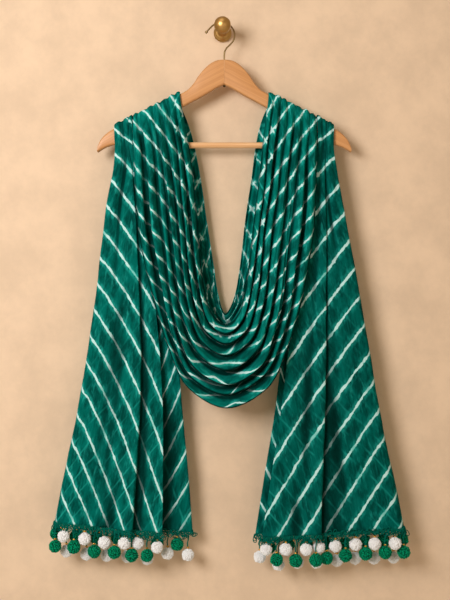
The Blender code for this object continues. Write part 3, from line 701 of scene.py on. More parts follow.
def tail_points(rows, front_folds, cut=0.0):
    """The middle surface of a tail, a grid of stations by places round its folded section, and
    the place in a section where the back layer turns into the front one."""
    at = stations(rows["steps"], cut)

    def column(name):
        """A column of the table at each station."""
        return through(rows[name], at)

    facing = directions(column("face"))
    outer_back = edge_line(column("outer_x"), column("outer_z"), column("back_off"), facing)
    outer_front = edge_line(column("outer_x"), column("outer_z"), column("front_off"), facing)
    back_edge = edge_line(column("back_x"), column("back_z"), column("back_off"), facing)
    front_edge = edge_line(column("edge_x"), column("edge_z"), column("front_off"), facing)

    grid = []
    for i, spread in enumerate(column("spread")):
        half_gap = np.linalg.norm(outer_front[i] - outer_back[i]) / 2.0
        inward = (front_edge[i] - outer_front[i]) / np.linalg.norm(front_edge[i] - outer_front[i])
        back_start = outer_back[i] + inward * half_gap
        front_start = outer_front[i] + inward * half_gap
        share, rise = layer_folds(TAIL_BACK_FOLDS, spread)
        back = back_start + (back_edge[i] - back_start) * share + facing[i] * rise
        share, rise = layer_folds(front_folds, spread)
        front = front_start + (front_edge[i] - front_start) * share + facing[i] * rise
        middle = (back_start + front_start) / 2.0
        turn = [middle - inward * half_gap * math.cos(a) + facing[i] * half_gap * math.sin(a)
                for a in np.radians(np.linspace(-90.0, 90.0, TURN_SEGMENTS + 1)[1:-1])]
        grid.append(np.concatenate([back[::-1], np.array(turn), front]))
    return np.array(grid), len(back) + TURN_SEGMENTS // 2 - 1


def cloth_lengths(grid, middle_column, top_row):
    """How far each point is across the cloth and along it, in metres of cloth."""
    across = np.zeros(grid.shape[:2])
    across[:, 1:] = np.cumsum(np.linalg.norm(np.diff(grid, axis=1), axis=2), axis=1)
    across -= across[:, middle_column][:, None]
    along = np.zeros(grid.shape[:2])
    along[1:] = np.cumsum(np.linalg.norm(np.diff(grid, axis=0), axis=2), axis=0)
    return across, along - along[top_row]


def crease_relief(across, along, creases):
    """How far creases lift or sink the cloth."""
    relief = np.zeros_like(across)
    names = CREASE_COLUMNS.split()
    for row in zip(*(creases[name] for name in names)):
        crease = dict(zip(names, np.array(row) * MM))
        run_across = crease["to_across"] - crease["from_across"]
        run_along = crease["to_along"] - crease["from_along"]
        length = math.hypot(run_across, run_along)
        from_across = across - crease["from_across"]
        from_along = along - crease["from_along"]
        reached = (from_across * run_across + from_along * run_along) / length ** 2
        aside = (from_across * run_along - from_along * run_across) / length
        ends = np.sin(math.pi * np.clip(reached, 0.0, 1.0))
        relief += crease["rise"] * np.sqrt(ends) * np.exp(-(aside / crease["width"]) ** 2)
    return relief


def wrinkle_relief(across, along, seed):
    """Uneven wrinkles that run along the cloth."""
    relief = np.zeros_like(across)
    for width, length, depth in WRINKLES:
        for place in np.ndindex(across.shape):
            relief[place] += depth * noise.noise(
                Vector((across[place] / width, along[place] / length, seed + depth / MM)))
    return relief


def normals(grid, facing):
    """The way the cloth faces at each point; facing is 1 or -1."""
    normal = np.cross(np.gradient(grid, axis=0), np.gradient(grid, axis=1)) * facing
    return normal / np.linalg.norm(normal, axis=2)[:, :, None]


def hollows(grid, facing):
    """How deep each point lies in a narrow or a wide fold, or how far it faces down, from 0 to 1:
    how much painted shade it takes.
    """
    deepest = np.zeros(grid.shape[:2])
    for span in HOLLOW_SPANS:
        padded = np.pad(grid, ((0, 0), (span, span), (0, 0)), mode="edge")
        sums = np.cumsum(np.pad(padded, ((0, 0), (1, 0), (0, 0))), axis=1)
        width = 2 * span + 1
        around = (sums[:, width:] - sums[:, :-width]) / width
        below = ((around - grid) * normals(around, facing)).sum(axis=2)
        deepest = np.maximum(deepest, below / HOLLOW_DEPTH)
    under = -normals(grid, facing)[:, :, 2] - UNDERSIDE
    return np.clip(np.maximum(deepest, under / UNDERSIDE_RANGE), 0.0, 1.0)


class Cloth:
    """A piece of cloth: its points, lengths across and along in metres, stripes counted in both
    slants, and how much painted shade it takes in its folds and on its undersides."""

    def __init__(self, grid, across, along, stripes, crossing, facing, painted_valley_shade=0.0, darkness=1.0):
        self.grid = grid
        self.across = across
        self.along = along
        self.stripes = stripes
        self.crossing = crossing
        # Painted shade: the deeper of the fold depths and the valley shade, scaled by its strength
        self.hollow = darkness * np.maximum(hollows(grid, facing), painted_valley_shade)


def swag_cloth(swag):
    """A swag, with stripes that run in from both arms and meet in the middle."""
    grid, base, painted_valley_shade = swag_points(swag.rows, swag.folds, swag.seed)
    flat, along = cloth_lengths(base, 0, 0)
    over_folds, _ = cloth_lengths(grid, 0, 0)
    share = flat / flat[:, -1:] * (1.0 - FOLLOWS_FOLDS)
    share += over_folds / over_folds[:, -1:] * FOLLOWS_FOLDS
    across = SWAG_WIDTH * share
    relief = crease_relief(across, along, swag.creases) + wrinkle_relief(across, along, swag.seed)
    grid = grid + normals(grid, -1.0) * relief[:, :, None]
    half = along[-1] / 2.0
    fold = np.minimum(np.arange(grid.shape[1]) // SAMPLES_PER_FOLD, len(swag.folds["arm"]) - 2)
    sway = TURN_SWAY * np.array([drift(TURN_SWAY_RATE * place, 0.0, swag.seed) for place in fold])
    sway = sway / (1.0 + ((along - half) / TURN_REACH) ** 2)
    down = half - np.hypot(along - half - sway, TURN_LENGTH)
    run = np.interp(down, STRIPE_RUNS["down"] * MM, STRIPE_RUNS["run"] * MM) * (share - 0.5)
    stripes = (down + swag.slant * run + swag.start) / swag.pitch
    crossing = (down - swag.slant * run + swag.start) / swag.pitch
    # Painted shade in a swag's folds, weaker by the arms and whole further down
    darkness = ARM_DARKNESS + (1.0 - ARM_DARKNESS) * np.clip(down / DARK_FROM, 0.0, 1.0)
    return Cloth(grid, across, along, stripes, crossing, -1.0, painted_valley_shade, swag.darkness * darkness)


def tail_cloth(tail):
    """A tail, across from its outer fold and along from the arm."""
    grid, fold_column = tail_points(tail.rows, tail.front_folds, HEM_CUT)
    across, along = cloth_lengths(grid, fold_column, 0)
    relief = crease_relief(across, along, tail.creases) + wrinkle_relief(across, along, tail.seed)
    relief *= np.clip(along / RELIEF_WHOLE, RELIEF_AT_ARM, 1.0)
    grid = grid + normals(grid, tail.facing) * relief[:, :, None]
    slant = np.interp(along, tail.slant["down"] * MM, tail.slant["slant"])
    straight = np.linalg.norm(grid - grid[:, fold_column][:, None], axis=2) * np.sign(across)
    lying = straight + TAIL_FOLLOWS_FOLDS * (across - straight)
    share = straight / straight[:, -1:]
    even = along[:, fold_column][:, None] * (1.0 - share) + along[:, -1:] * share
    front = even + TAIL_FOLLOWS_FOLDS * (along - even) - slant * lying
    reach = np.clip(across / across[:, :1], 0.0, 1.0)
    back = along * (1.0 - BACK_LAYER_STRETCH * reach) + BACK_LAYER_REACH * reach
    stripes = (np.where(across < 0.0, back, front) + tail.start) / tail.pitch
    crossing = (along + slant * across + tail.start) / tail.pitch
    return Cloth(grid, across, along, stripes, crossing, tail.facing)


# ---------------------------------------------------------------- meshes

def new_object(name, mesh):
    """A mesh object at the origin, in the scene."""
    made = bpy.data.objects.new(name, mesh)
    bpy.context.scene.collection.objects.link(made)
    return made


def cloth_shell(name, cloth, finish, thickness):
    """A thin shell on both sides of the cloth's points, with its lengths and stripes as maps."""
    rows, columns, _ = cloth.grid.shape
    spot = np.arange(rows * columns).reshape(rows, columns)
    faces = np.stack([spot[:-1, :-1], spot[:-1, 1:], spot[1:, 1:], spot[1:, :-1]], axis=2)
    mesh = bpy.data.meshes.new(name)
    mesh.from_pydata(cloth.grid.reshape(-1, 3).tolist(), [], faces.reshape(-1, 4).tolist())
    mesh.update()
    corner = np.empty(len(mesh.loops), int)
    mesh.loops.foreach_get("vertex_index", corner)
    for label, first, second in (("cloth", cloth.across, cloth.along),
                                 ("dye", cloth.stripes, cloth.crossing)):
        values = np.stack([first.ravel()[corner], second.ravel()[corner]], axis=1)
        mesh.uv_layers.new(name=label).data.foreach_set("uv", values.ravel())
    # The painted shade, stored on each point for the finish to read
    mesh.attributes.new("hollow", "FLOAT", "POINT").data.foreach_set("value", cloth.hollow.ravel())
    mesh.shade_smooth()
    mesh.materials.append(finish)
    made = new_object(name, mesh)
    wall = made.modifiers.new("cloth thickness", "SOLIDIFY")
    wall.thickness = thickness
    wall.offset = 0.0
    return made


def closed_loft(name, rings, finish, smooth_angle):
    """A closed solid through rings of equally many points, facing outward."""
    sides = len(rings[0])
    points = np.concatenate([np.asarray(ring, float) for ring in rings])
    faces = []
    for row in range(len(rings) - 1):
        for k in range(sides):
            a = row * sides + k
            b = row * sides + (k + 1) % sides
            faces.append((a, b, b + sides, a + sides))
    last = (len(rings) - 1) * sides
    faces.append(tuple(reversed(range(sides))))
    faces.append(tuple(range(last, last + sides)))
    signed = 0.0
    for face in faces:
        for k in range(1, len(face) - 1):
            a, b, c = points[face[0]], points[face[k]], points[face[k + 1]]
            signed += float(np.dot(a, np.cross(b, c)))
    if signed < 0.0:
        faces = [tuple(reversed(face)) for face in faces]
    mesh = bpy.data.meshes.new(name)
    mesh.from_pydata(points.tolist(), [], faces)
    mesh.update()
    mesh.shade_smooth()
    mesh.set_sharp_from_angle(angle=math.radians(smooth_angle))
    mesh.materials.append(finish)
    return new_object(name, mesh)


# Directions: to the right, to the back and up
RIGHT = np.array([1.0, 0.0, 0.0])
BACK = np.array([0.0, 1.0, 0.0])
UP = np.array([0.0, 0.0, 1.0])


def round_ring(centre, first, second, radius, sides):
    """A ring of points about a centre, in the plane of two directions."""
    turns = np.linspace(0.0, 2.0 * math.pi, sides, endpoint=False)[:, None]
    return centre + (first * np.cos(turns) + second * np.sin(turns)) * radius


def piece(made, slot, *nodes):
    """Rides the piece on the body and hides the solids it stands for; slot is not used."""
    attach(made, BODY)
    if nodes:
        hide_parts(*nodes)
    return made


# ---------------------------------------------------------------- finishes

# Noises in the finishes: how finely they go along x, y and z, or across and along the cloth, to
# the metre; how they are turned, in radians; their detail and roughness; and a low and a high
# value, with how strongly they show at each, or for the crinkle how rough the cloth is there
Noise = namedtuple("Noise", "stretch turn detail roughness low high at_low at_high",
                   defaults=(0.0, 1.0, 0.0, 1.0))
LEVEL = (0.0, 0.0, 0.0)
NOISES = {
    "wander": Noise((26, 26, 1), LEVEL, 2, 0.5),
    "jitter": Noise((240, 240, 1), LEVEL, 2, 0.5),
    "blots": Noise((88, 88, 1), LEVEL, 1, 0.5, 0.30, 0.72, 0.42, 0.92),
    "fade": Noise((24, 24, 1), LEVEL, 1, 0.5, 0.30, 0.48, 0.50, 1.0),
    "hair": Noise((420, 130, 1), (0.0, 0.0, 0.5), 2, 0.5, 0.30, 0.62, 0.35, 1.0),
    "smear": Noise((130, 40, 1), LEVEL, 3, 0.6, 0.36, 0.58),
    "patches": Noise((21, 21, 1), LEVEL, 2, 0.5, 0.40, 0.60),
    "cloud": Noise((48, 15, 1), LEVEL, 5, 0.68, 0.38, 0.60),
    "streak": Noise((340, 16, 1), LEVEL, 3, 0.5, 0.48, 0.74, 0.0, 0.16),
    "blush": Noise((120, 28, 1), (0.0, 0.0, -0.45), 4, 0.6, 0.54, 0.74, 0.0, 0.60),
    "crinkle": Noise((260, 30, 1), LEVEL, 3, 0.6, 0.2, 0.8, 0.70, 0.90),
    "crepe": Noise((900, 700, 1), LEVEL, 2, 0.5),
    "wool_fibre": Noise((1500, 1500, 1500), LEVEL, 2, 0.5, 0.45, 0.75, 0.0, 0.6),
    "wool_patch": Noise((160, 160, 160), LEVEL, 2, 0.5, 0.3, 0.7, 0.0, 0.25),
    "wood_warp": Noise((6, 20, 20), LEVEL, 2, 0.5),
    "wood_rings": Noise((4, 120, 400), LEVEL, 4, 0.6, 0.36, 0.66),
    "wood_fibre": Noise((22, 700, 900), LEVEL, 3, 0.6, 0.35, 0.65, 0.34, 0.0),
    "wood_pores": Noise((60, 1400, 1800), LEVEL, 1, 0.5, 0.66, 0.78, 0.0, 0.35),
    "patina": Noise((70, 70, 70), LEVEL, 4, 0.6, 0.42, 0.70, 0.0, 0.26),
    "spots": Noise((420, 420, 420), LEVEL, 3, 0.5, 0.60, 0.75, 0.0, 0.12),
    "scratch": Noise((300, 300, 2600), (0.3, 0.2, 0.0), 2, 0.5),
    "wall_cloud": Noise((11, 11, 11), LEVEL, 7, 0.68, 0.3, 0.7),
    "wall_plaster": Noise((60, 60, 60), LEVEL, 4, 0.5),
}

# A stripe's distance is counted along the cloth; this makes it the distance square to the stripe
STRIPE_UPRIGHT = 0.58

# How far stripes wander and jitter, as shares of their pitch, and how far the crossing family is
# moved on
STRIPE_WANDER = 0.14
STRIPE_JITTER = 0.040
CROSSING_SHIFT = 0.15

# How far into a white line its edge is soft, and the share of a halo that is whole beside it
CORE_EDGE = 0.62
HALO_WHOLE = 0.3

# Crossed stripes, in mm: from where to where the thin lines fade, how near a stripe a knot has to
# be, and how a knot fades
THIN_FADE = (2.6, 0.4)
KNOT_NEAR = (8.0, 2.0)
KNOT_FADE = (2.8, 0.6)

# How much teal the halo and the thin lines take, how much of a piece's painted shade its white
# stripes take, where teal and white start and are whole, and over which fold depths the painted
# shade in the folds rises
HALO_STRENGTH = 0.80
THIN_STRENGTH = 0.62
WHITE_SHADE = 0.25
TEAL_RISE = (0.0, 0.45)
WHITE_RISE = (0.22, 0.95)
HOLLOW_RISE = (0.08, 0.85)

# Bumps in the cloth: how high and how strong
CRINKLE_BUMP = (1.1 * MM, 0.6)
CREPE_BUMP = (0.25 * MM, 0.35)


class Wiring:
    """Short calls that add nodes to a tree and wire them."""

    def __init__(self, tree):
        self.tree = tree

    def feed(self, socket, value):
        """Links a socket, or sets it."""
        if isinstance(value, bpy.types.NodeSocket):
            self.tree.links.new(value, socket)
        elif hasattr(value, "__len__") and socket.type == "RGBA":
            socket.default_value = (*value[:3], 1.0)
        else:
            socket.default_value = value

    def node(self, kind, inputs, **settings):
        """A node with its settings and its inputs by name or number."""
        made = self.tree.nodes.new(kind)
        for name, value in settings.items():
            setattr(made, name, value)
        for name, value in inputs.items():
            self.feed(made.inputs[name], value)
        return made

    def first(self, kind, inputs, **settings):
        """The first output of such a node."""
        return self.node(kind, inputs, **settings).outputs[0]

    def math(self, operation, *values):
        """A sum, product or other operation on values."""
        return self.first("ShaderNodeMath", dict(enumerate(values)), operation=operation)

    def times(self, *values):
        """The product of all the values."""
        product = values[0]
        for value in values[1:]:
            product = self.math("MULTIPLY", product, value)
        return product

    def vector(self, x=0.0, y=0.0, z=0.0):
        """Three numbers as one vector."""
        return self.first("ShaderNodeCombineXYZ", {0: x, 1: y, 2: z})


class Finish(Wiring):
    """A Principled material and short calls for its nodes."""

    def __init__(self, name, roughness, metallic=0.0):
        self.material = bpy.data.materials.new(name)
        self.material.use_nodes = True
        super().__init__(self.material.node_tree)
        self.shader = self.tree.nodes["Principled BSDF"]
        self.shader.inputs["Roughness"].default_value = roughness
        self.shader.inputs["Metallic"].default_value = metallic

    def mapped(self, label):
        """The two numbers of a UV map."""
        parts = self.node("ShaderNodeSeparateXYZ", {0: self.first("ShaderNodeUVMap", {}, uv_map=label)})
        return parts.outputs[0], parts.outputs[1]

    def attribute(self, label):
        """A value that the mesh holds for each point."""
        return self.node("ShaderNodeAttribute", {}, attribute_name=label).outputs["Fac"]

    def place(self):
        """Where a point is on its piece, in metres."""
        return self.node("ShaderNodeTexCoord", {}).outputs["Object"]

    def stretched(self, vector, scale, turn):
        """A place turned and stretched."""
        return self.first("ShaderNodeMapping", {"Vector": vector, "Rotation": turn, "Scale": scale})

    def grain(self, where, kind):
        """One of the noises, over a place."""
        noise = NOISES[kind]
        spread = self.stretched(where, noise.stretch, noise.turn)
        inputs = {"Vector": spread, "Scale": 1.0, "Detail": noise.detail, "Roughness": noise.roughness}
        return self.first("ShaderNodeTexNoise", inputs)

    def ramp(self, value, kind):
        """How strongly one of the noises shows."""
        noise = NOISES[kind]
        return self.step(value, noise.low, noise.high, noise.at_low, noise.at_high)

    def shown(self, where, kind):
        """One of the noises over a place, as strongly as it shows."""
        return self.ramp(self.grain(where, kind), kind)

    def step(self, value, low, high, to_low=0.0, to_high=1.0):
        """Rises smoothly from to_low at low to to_high at high."""
        inputs = {0: value, 1: low, 2: high, 3: to_low, 4: to_high}
        return self.first("ShaderNodeMapRange", inputs, interpolation_type="SMOOTHSTEP")

    def mixed(self, factor, first, second):
        """A colour between two."""
        inputs = {0: factor, 6: first, 7: second}
        return self.node("ShaderNodeMix", inputs, data_type="RGBA").outputs[2]

    def bump(self, height, distance, strength, under=None):
        """A normal that makes heights show, over the one under it."""
        inputs = {"Height": height, "Distance": distance, "Strength": strength}
        if under is not None:
            inputs["Normal"] = under
        return self.first("ShaderNodeBump", inputs)

    def paint(self, **inputs):
        """Wires the shader's inputs, with spaces in their names as underscores."""
        for name, value in inputs.items():
            self.feed(self.shader.inputs[name.replace("_", " ")], value)


def leheriya(name, crossing, knots=1.0, shade=0.0, line_white=1.0, widen=1.0):
    """Cloth tied and dyed in slanting stripes; crossing gives, from the across and along lengths,
    how strongly a second family crosses them, and knots how white they cross; shade is how much
    painted shade darkens the whole piece, line_white how white the stripes are between the knots,
    and widen how much wider than elsewhere. The folds' depths and undersides take painted shade
    too."""
    settings = bpy.context.scene.dupatta_cloth
    finish = Finish(name, roughness=0.80)
    across, along = finish.mapped("cloth")
    flat = finish.vector(across, along)
    line, cross_line = finish.mapped("dye")

    def wandering(count, shift):
        """How far a point is from the nearest stripe, in metres."""
        wander = finish.math("MULTIPLY_ADD", finish.grain(flat, "wander"), STRIPE_WANDER,
                             shift - STRIPE_WANDER / 2.0)
        jitter = finish.math("MULTIPLY_ADD", finish.grain(flat, "jitter"), STRIPE_JITTER,
                             -STRIPE_JITTER / 2.0)
        moved = finish.math("ADD", finish.math("ADD", count, wander), jitter)
        return finish.times(finish.math("PINGPONG", moved, 0.5), settings.stripe_pitch * STRIPE_UPRIGHT)

    def fading(distance, ends):
        """Falls from the first distance to the second, both in mm."""
        return finish.step(distance, ends[0] * MM, ends[1] * MM)

    stripe = wandering(line, 0.0)
    cross = wandering(cross_line, CROSSING_SHIFT)

    reach = finish.times(finish.shown(flat, "blots"), widen * settings.stripe_width)
    core = finish.math("SUBTRACT", 1.0, finish.math("DIVIDE", stripe, reach))
    core = finish.times(finish.step(core, 0.0, CORE_EDGE), finish.shown(flat, "fade"))
    halo = finish.step(stripe, settings.halo_width, HALO_WHOLE * settings.halo_width)
    halo = finish.times(halo, finish.shown(flat, "smear"), finish.shown(flat, "hair"))
    weight = crossing(finish, across, along)
    faint = finish.times(fading(cross, THIN_FADE), weight, finish.shown(flat, "patches"))
    knot = finish.times(fading(cross, KNOT_FADE), fading(stripe, KNOT_NEAR), weight, knots)

    colour = finish.mixed(finish.shown(flat, "cloud"), settings.deep_green, settings.green)
    colour = finish.mixed(finish.shown(flat, "streak"), colour, settings.teal)
    colour = finish.mixed(finish.shown(flat, "blush"), colour, settings.teal)
    colour = finish.mixed(finish.times(halo, HALO_STRENGTH), colour, settings.teal)
    colour = finish.mixed(finish.times(faint, THIN_STRENGTH), colour, settings.teal)
    # Painted shade: the whole piece's dye darkened towards the crease colour
    colour = finish.mixed(shade, colour, settings.crease)
    white = finish.math("MAXIMUM", finish.times(core, line_white), knot)
    colour = finish.mixed(finish.step(white, *TEAL_RISE), colour, settings.teal)
    colour = finish.mixed(finish.step(white, *WHITE_RISE), colour, settings.white)
    # Painted shade in the folds' depths and on undersides, which the white stripes share in part
    shadow = finish.step(finish.attribute("hollow"), *HOLLOW_RISE, WHITE_SHADE * shade,
                         settings.crease_shade)
    colour = finish.mixed(shadow, colour, settings.crease)

    crinkle = finish.grain(flat, "crinkle")
    normal = finish.bump(crinkle, *CRINKLE_BUMP)
    normal = finish.bump(finish.grain(flat, "crepe"), *CREPE_BUMP, normal)
    finish.paint(Base_Color=colour, Normal=normal, Roughness=finish.ramp(crinkle, "crinkle"))
    finish.paint(Sheen_Weight=settings.sheen, Sheen_Roughness=0.4, Sheen_Tint=settings.teal)
    finish.paint(Specular_IOR_Level=0.015)
    return finish.material


def toned(colour, share):
    """A colour made darker or lighter."""
    return tuple(min(1.0, share * channel) for channel in colour)


# Yarn: how dark its patches and how light its fibres are, and over which share of a yarn end's
# length its painted root shade gives way
PATCH_TONE = 0.60
FIBRE_TONE = 1.18
ROOT_RISE = (0.66, 1.0)
FIBRE_BUMP = (0.3 * MM, 0.7)


def yarn(name, colour, sheen, painted_root_shade=1.0):
    """Fluffy wool or cotton yarn, paler where the fibres stand up; a root shade below 1 is painted
    shade that darkens it at the roots of its ends and on the core between them."""
    finish = Finish(name, roughness=0.95)
    where = finish.place()
    fibre = finish.grain(where, "wool_fibre")
    mixed = finish.mixed(finish.shown(where, "wool_patch"), colour, toned(colour, PATCH_TONE))
    mixed = finish.mixed(finish.ramp(fibre, "wool_fibre"), mixed, toned(colour, FIBRE_TONE))
    # Painted shade at the roots of the yarn ends and on the core between them
    if painted_root_shade < 1.0:
        rise = finish.step(finish.attribute("tip"), *ROOT_RISE)
        mixed = finish.mixed(rise, toned(colour, painted_root_shade), mixed)
    finish.paint(Base_Color=mixed, Normal=finish.bump(fibre, *FIBRE_BUMP))
    finish.paint(Sheen_Weight=sheen, Sheen_Roughness=0.6, Sheen_Tint=colour, Specular_IOR_Level=0.08)
    return finish.material


# Wood: how far its rings warp, in metres, how much they pale, how dark its pores are, and the
# roughness and bump of its fibre
RING_WARP = 0.014
RINGS_PALE = 0.30
PORE_TONE = 0.45
WOOD_ROUGHNESS = (0.3, 0.7, 0.36, 0.50)
WOOD_BUMP = (0.12 * MM, 0.5)


def grained_wood(name, light, dark, turn):
    """Wood whose grain runs along X, turned about Y by some degrees, under a satin lacquer."""
    finish = Finish(name, roughness=0.42)
    where = finish.stretched(finish.place(), (1.0, 1.0, 1.0), (0.0, math.radians(turn), 0.0))
    warp = finish.vector(z=finish.times(finish.grain(where, "wood_warp"), RING_WARP))
    warped = finish.first("ShaderNodeVectorMath", {0: where, 1: warp}, operation="ADD")
    fibre = finish.grain(where, "wood_fibre")
    colour = finish.mixed(finish.shown(warped, "wood_rings"), dark, light)
    colour = finish.mixed(RINGS_PALE, colour, light)
    colour = finish.mixed(finish.ramp(fibre, "wood_fibre"), colour, dark)
    colour = finish.mixed(finish.shown(where, "wood_pores"), colour, toned(dark, PORE_TONE))
    finish.paint(Base_Color=colour, Roughness=finish.step(fibre, *WOOD_ROUGHNESS))
    finish.paint(Normal=finish.bump(fibre, *WOOD_BUMP), Coat_Weight=0.12, Coat_Roughness=0.25)
    return finish.material


# Brass: over which values of its patina it gets rougher, from how much smoother than its own
# roughness to how much rougher, and the bump of its scratches
PATINA_RANGE = (0.3, 0.7)
SMOOTHER = 0.05
ROUGHER = 0.14
SCRATCH_BUMP = (0.03 * MM, 0.4)


def aged_brass(name, bright, tarnish, roughness):
    """Brass with a soft patina and fine scratches."""
    finish = Finish(name, roughness, metallic=1.0)
    where = finish.place()
    patina = finish.grain(where, "patina")
    colour = finish.mixed(finish.ramp(patina, "patina"), bright, tarnish)
    colour = finish.mixed(finish.shown(where, "spots"), colour, tarnish)
    rough = finish.step(patina, *PATINA_RANGE, roughness - SMOOTHER, roughness + ROUGHER)
    normal = finish.bump(finish.grain(where, "scratch"), *SCRATCH_BUMP)
    finish.paint(Base_Color=colour, Roughness=rough, Normal=normal)
    return finish.material


# ---------------------------------------------------------------- edging shapes

def hem_line(side):
    """The points of a tail's hem, from the back layer's free edge round to the front's, and how
    far across the cloth they are."""
    tail = TAILS[side]
    grid, fold_column = tail_points(tail.rows, tail.front_folds)
    across, _ = cloth_lengths(grid[-1:], fold_column, 0)
    return grid[-1], across[0]


def pompom_places(side):
    """Each pom-pom's foot on the hem, its drop and whether it is white."""
    hem, across = hem_line(side)
    reached = across - across[0]
    back_length = -across[0]
    front_length = across[-1]
    on_back = 2 * round(back_length / POMPOM_PITCH / 2.0)
    on_front = round(front_length / POMPOM_PITCH)
    hung = [back_length * (k + 0.5) / on_back for k in range(on_back)]
    hung += [back_length + front_length * (k + 0.5) / on_front for k in range(on_front)]
    found = []
    for k, place in enumerate(hung):
        foot = np.array([np.interp(place, reached, hem[:, axis]) for axis in range(3)])
        on_back_layer = k < on_back
        long = k % 2 == 0
        behind = on_back_layer and abs(foot[0]) > abs(hem[-1][0])
        drop = LONG_DROP + LONGER_BEHIND * behind if long else SHORT_DROP
        found.append((foot, drop, long == on_back_layer))
    return found


def node_tree(name, sizes):
    """An empty Geometry Nodes tree with a geometry in and out and named number inputs."""
    tree = bpy.data.node_groups.new(name, "GeometryNodeTree")
    tree.interface.new_socket("Geometry", in_out="INPUT", socket_type="NodeSocketGeometry")
    for label, value in sizes.items():
        kind = "NodeSocketInt" if isinstance(value, int) else "NodeSocketFloat"
        socket = tree.interface.new_socket(label, in_out="INPUT", socket_type=kind)
        socket.default_value = value
    tree.interface.new_socket("Geometry", in_out="OUTPUT", socket_type="NodeSocketGeometry")
    return tree


class Growth(Wiring):
    """A Geometry Nodes tree and short calls for its nodes."""

    def __init__(self, name, **sizes):
        self.sizes = {label.replace("_", " ").capitalize(): value for label, value in sizes.items()}
        super().__init__(node_tree(name, self.sizes))
        self.start = self.tree.nodes.new("NodeGroupInput")

    def size(self, label):
        """One of the tree's named sizes."""
        return self.start.outputs[label]

    def geometry(self):
        """The points and edges that the tree grows on."""
        return self.start.outputs[0]

    def random(self, low, high, seed):
        """A random number, or a random vector where low and high are vectors."""
        if isinstance(low, tuple):
            inputs = {0: low, 1: high, "Seed": seed}
            return self.first("FunctionNodeRandomValue", inputs, data_type="FLOAT_VECTOR")
        inputs = {2: low, 3: high, "Seed": seed}
        return self.node("FunctionNodeRandomValue", inputs, data_type="FLOAT").outputs[1]

    def random_turn(self, low, high, seed):
        """A random rotation between two sets of angles."""
        return self.first("FunctionNodeEulerToRotation", {0: self.random(low, high, seed)})

    def turned(self, rotation, by):
        """A rotation turned further in its own axes."""
        return self.first("FunctionNodeRotateRotation", {0: rotation, 1: by}, rotation_space="LOCAL")

    def aimed(self, kind, axis):
        """A rotation that aims an axis along the normal or the tangent."""
        inputs = {"Vector": self.first(kind, {})}
        return self.first("FunctionNodeAlignRotationToVector", inputs, axis=axis)

    def planted(self, points, instance, rotation, scale):
        """A copy of the instance on each point."""
        inputs = {"Points": points, "Instance": instance, "Rotation": rotation, "Scale": scale}
        return self.first("GeometryNodeInstanceOnPoints", inputs)

    def joined(self, *parts):
        """Several pieces of geometry as one."""
        made = self.node("GeometryNodeJoinGeometry", {})
        for part in parts:
            self.tree.links.new(part, made.inputs[0])
        return made.outputs[0]

    def realized(self, geometry):
        """Geometry whose copies have become its own."""
        return self.first("GeometryNodeRealizeInstances", {0: geometry})

    def ico(self, radius, subdivisions):
        """A ball of even triangles."""
        inputs = {"Radius": radius, "Subdivisions": subdivisions}
        return self.first("GeometryNodeMeshIcoSphere", inputs)

    def sphere(self, radius, segments, rings):
        """A ball of rings."""
        inputs = {"Segments": segments, "Rings": rings, "Radius": radius}
        return self.first("GeometryNodeMeshUVSphere", inputs)

    def circle(self, radius, points):
        """A closed round curve."""
        return self.first("GeometryNodeCurvePrimitiveCircle", {"Resolution": points, "Radius": radius})

    def line(self):
        """The edges that the tree grows on, as curves."""
        return self.first("GeometryNodeMeshToCurve", {0: self.geometry()})

    def tube(self, curve, radius, sides, caps):
        """A round thread along curves."""
        section = self.circle(radius, sides)
        inputs = {"Curve": curve, "Profile Curve": section, "Fill Caps": caps}
        return self.first("GeometryNodeCurveToMesh", inputs)

    def end(self, geometry, finish, smooth):
        """Realizes what is there, gives it its finish and ends the tree."""
        inputs = {"Geometry": self.realized(geometry), "Shade Smooth": smooth}
        shaded = self.first("GeometryNodeSetShadeSmooth", inputs)
        last = self.first("GeometryNodeSetMaterial", {"Geometry": shaded, "Material": finish})
        out = self.tree.nodes.new("NodeGroupOutput")
        self.tree.links.new(last, out.inputs[0])

    def grow(self, name, points, edges, values=None):
        """Grows the tree on points and edges, and returns the result as a plain mesh object."""
        seedling = bpy.data.meshes.new(name + "_points")
        seedling.from_pydata([tuple(point) for point in points], edges, [])
        for label, column in (values or {}).items():
            seedling.attributes.new(label, "FLOAT", "POINT").data.foreach_set("value", column)
        carrier = new_object(name + "_carrier", seedling)
        modifier = carrier.modifiers.new("growth", "NODES")
        modifier.node_group = self.tree
        for item in self.tree.interface.items_tree:
            if item.in_out == "INPUT" and item.name in self.sizes:
                modifier[item.identifier] = self.sizes[item.name]
        evaluated = carrier.evaluated_get(bpy.context.evaluated_depsgraph_get())
        mesh = bpy.data.meshes.new_from_object(evaluated)
        mesh.name = name
        carrier.modifiers.remove(modifier)
        bpy.data.objects.remove(carrier, do_unlink=True)
        if not mesh.polygons:
            raise RuntimeError(name + " came out empty")
        return new_object(name, mesh)


# Yarn ends: how far their core fills their length, how far they lean, how much their width
# varies, how many clumps they stand in to the metre, and how long they are in the middle of a
# clump and how much shorter a clump's radius away
CORE_FILLS = 0.40
YARN_LEAN = (0.22, 0.22, 3.1)
YARN_WIDTHS = (0.8, 1.2)
CLUMPS = 330.0
CLUMP_LENGTH = 1.12
CLUMP_FALL = 0.40

# A yarn end's segments and rings, and how finely a pom-pom is divided
BUD_SEGMENTS = 6
BUD_RINGS = 4
BALL_SUBDIVISIONS = 3

# How big the pom-poms are as shares of their radius, how much that varies, and how far they turn
WHITE_BALL_SIZE = 1.04
GREEN_BALL_SIZE = 1.10
BALL_SIZE_VARIES = 0.05
ALL_WAYS = (3.1, 3.1, 3.1)

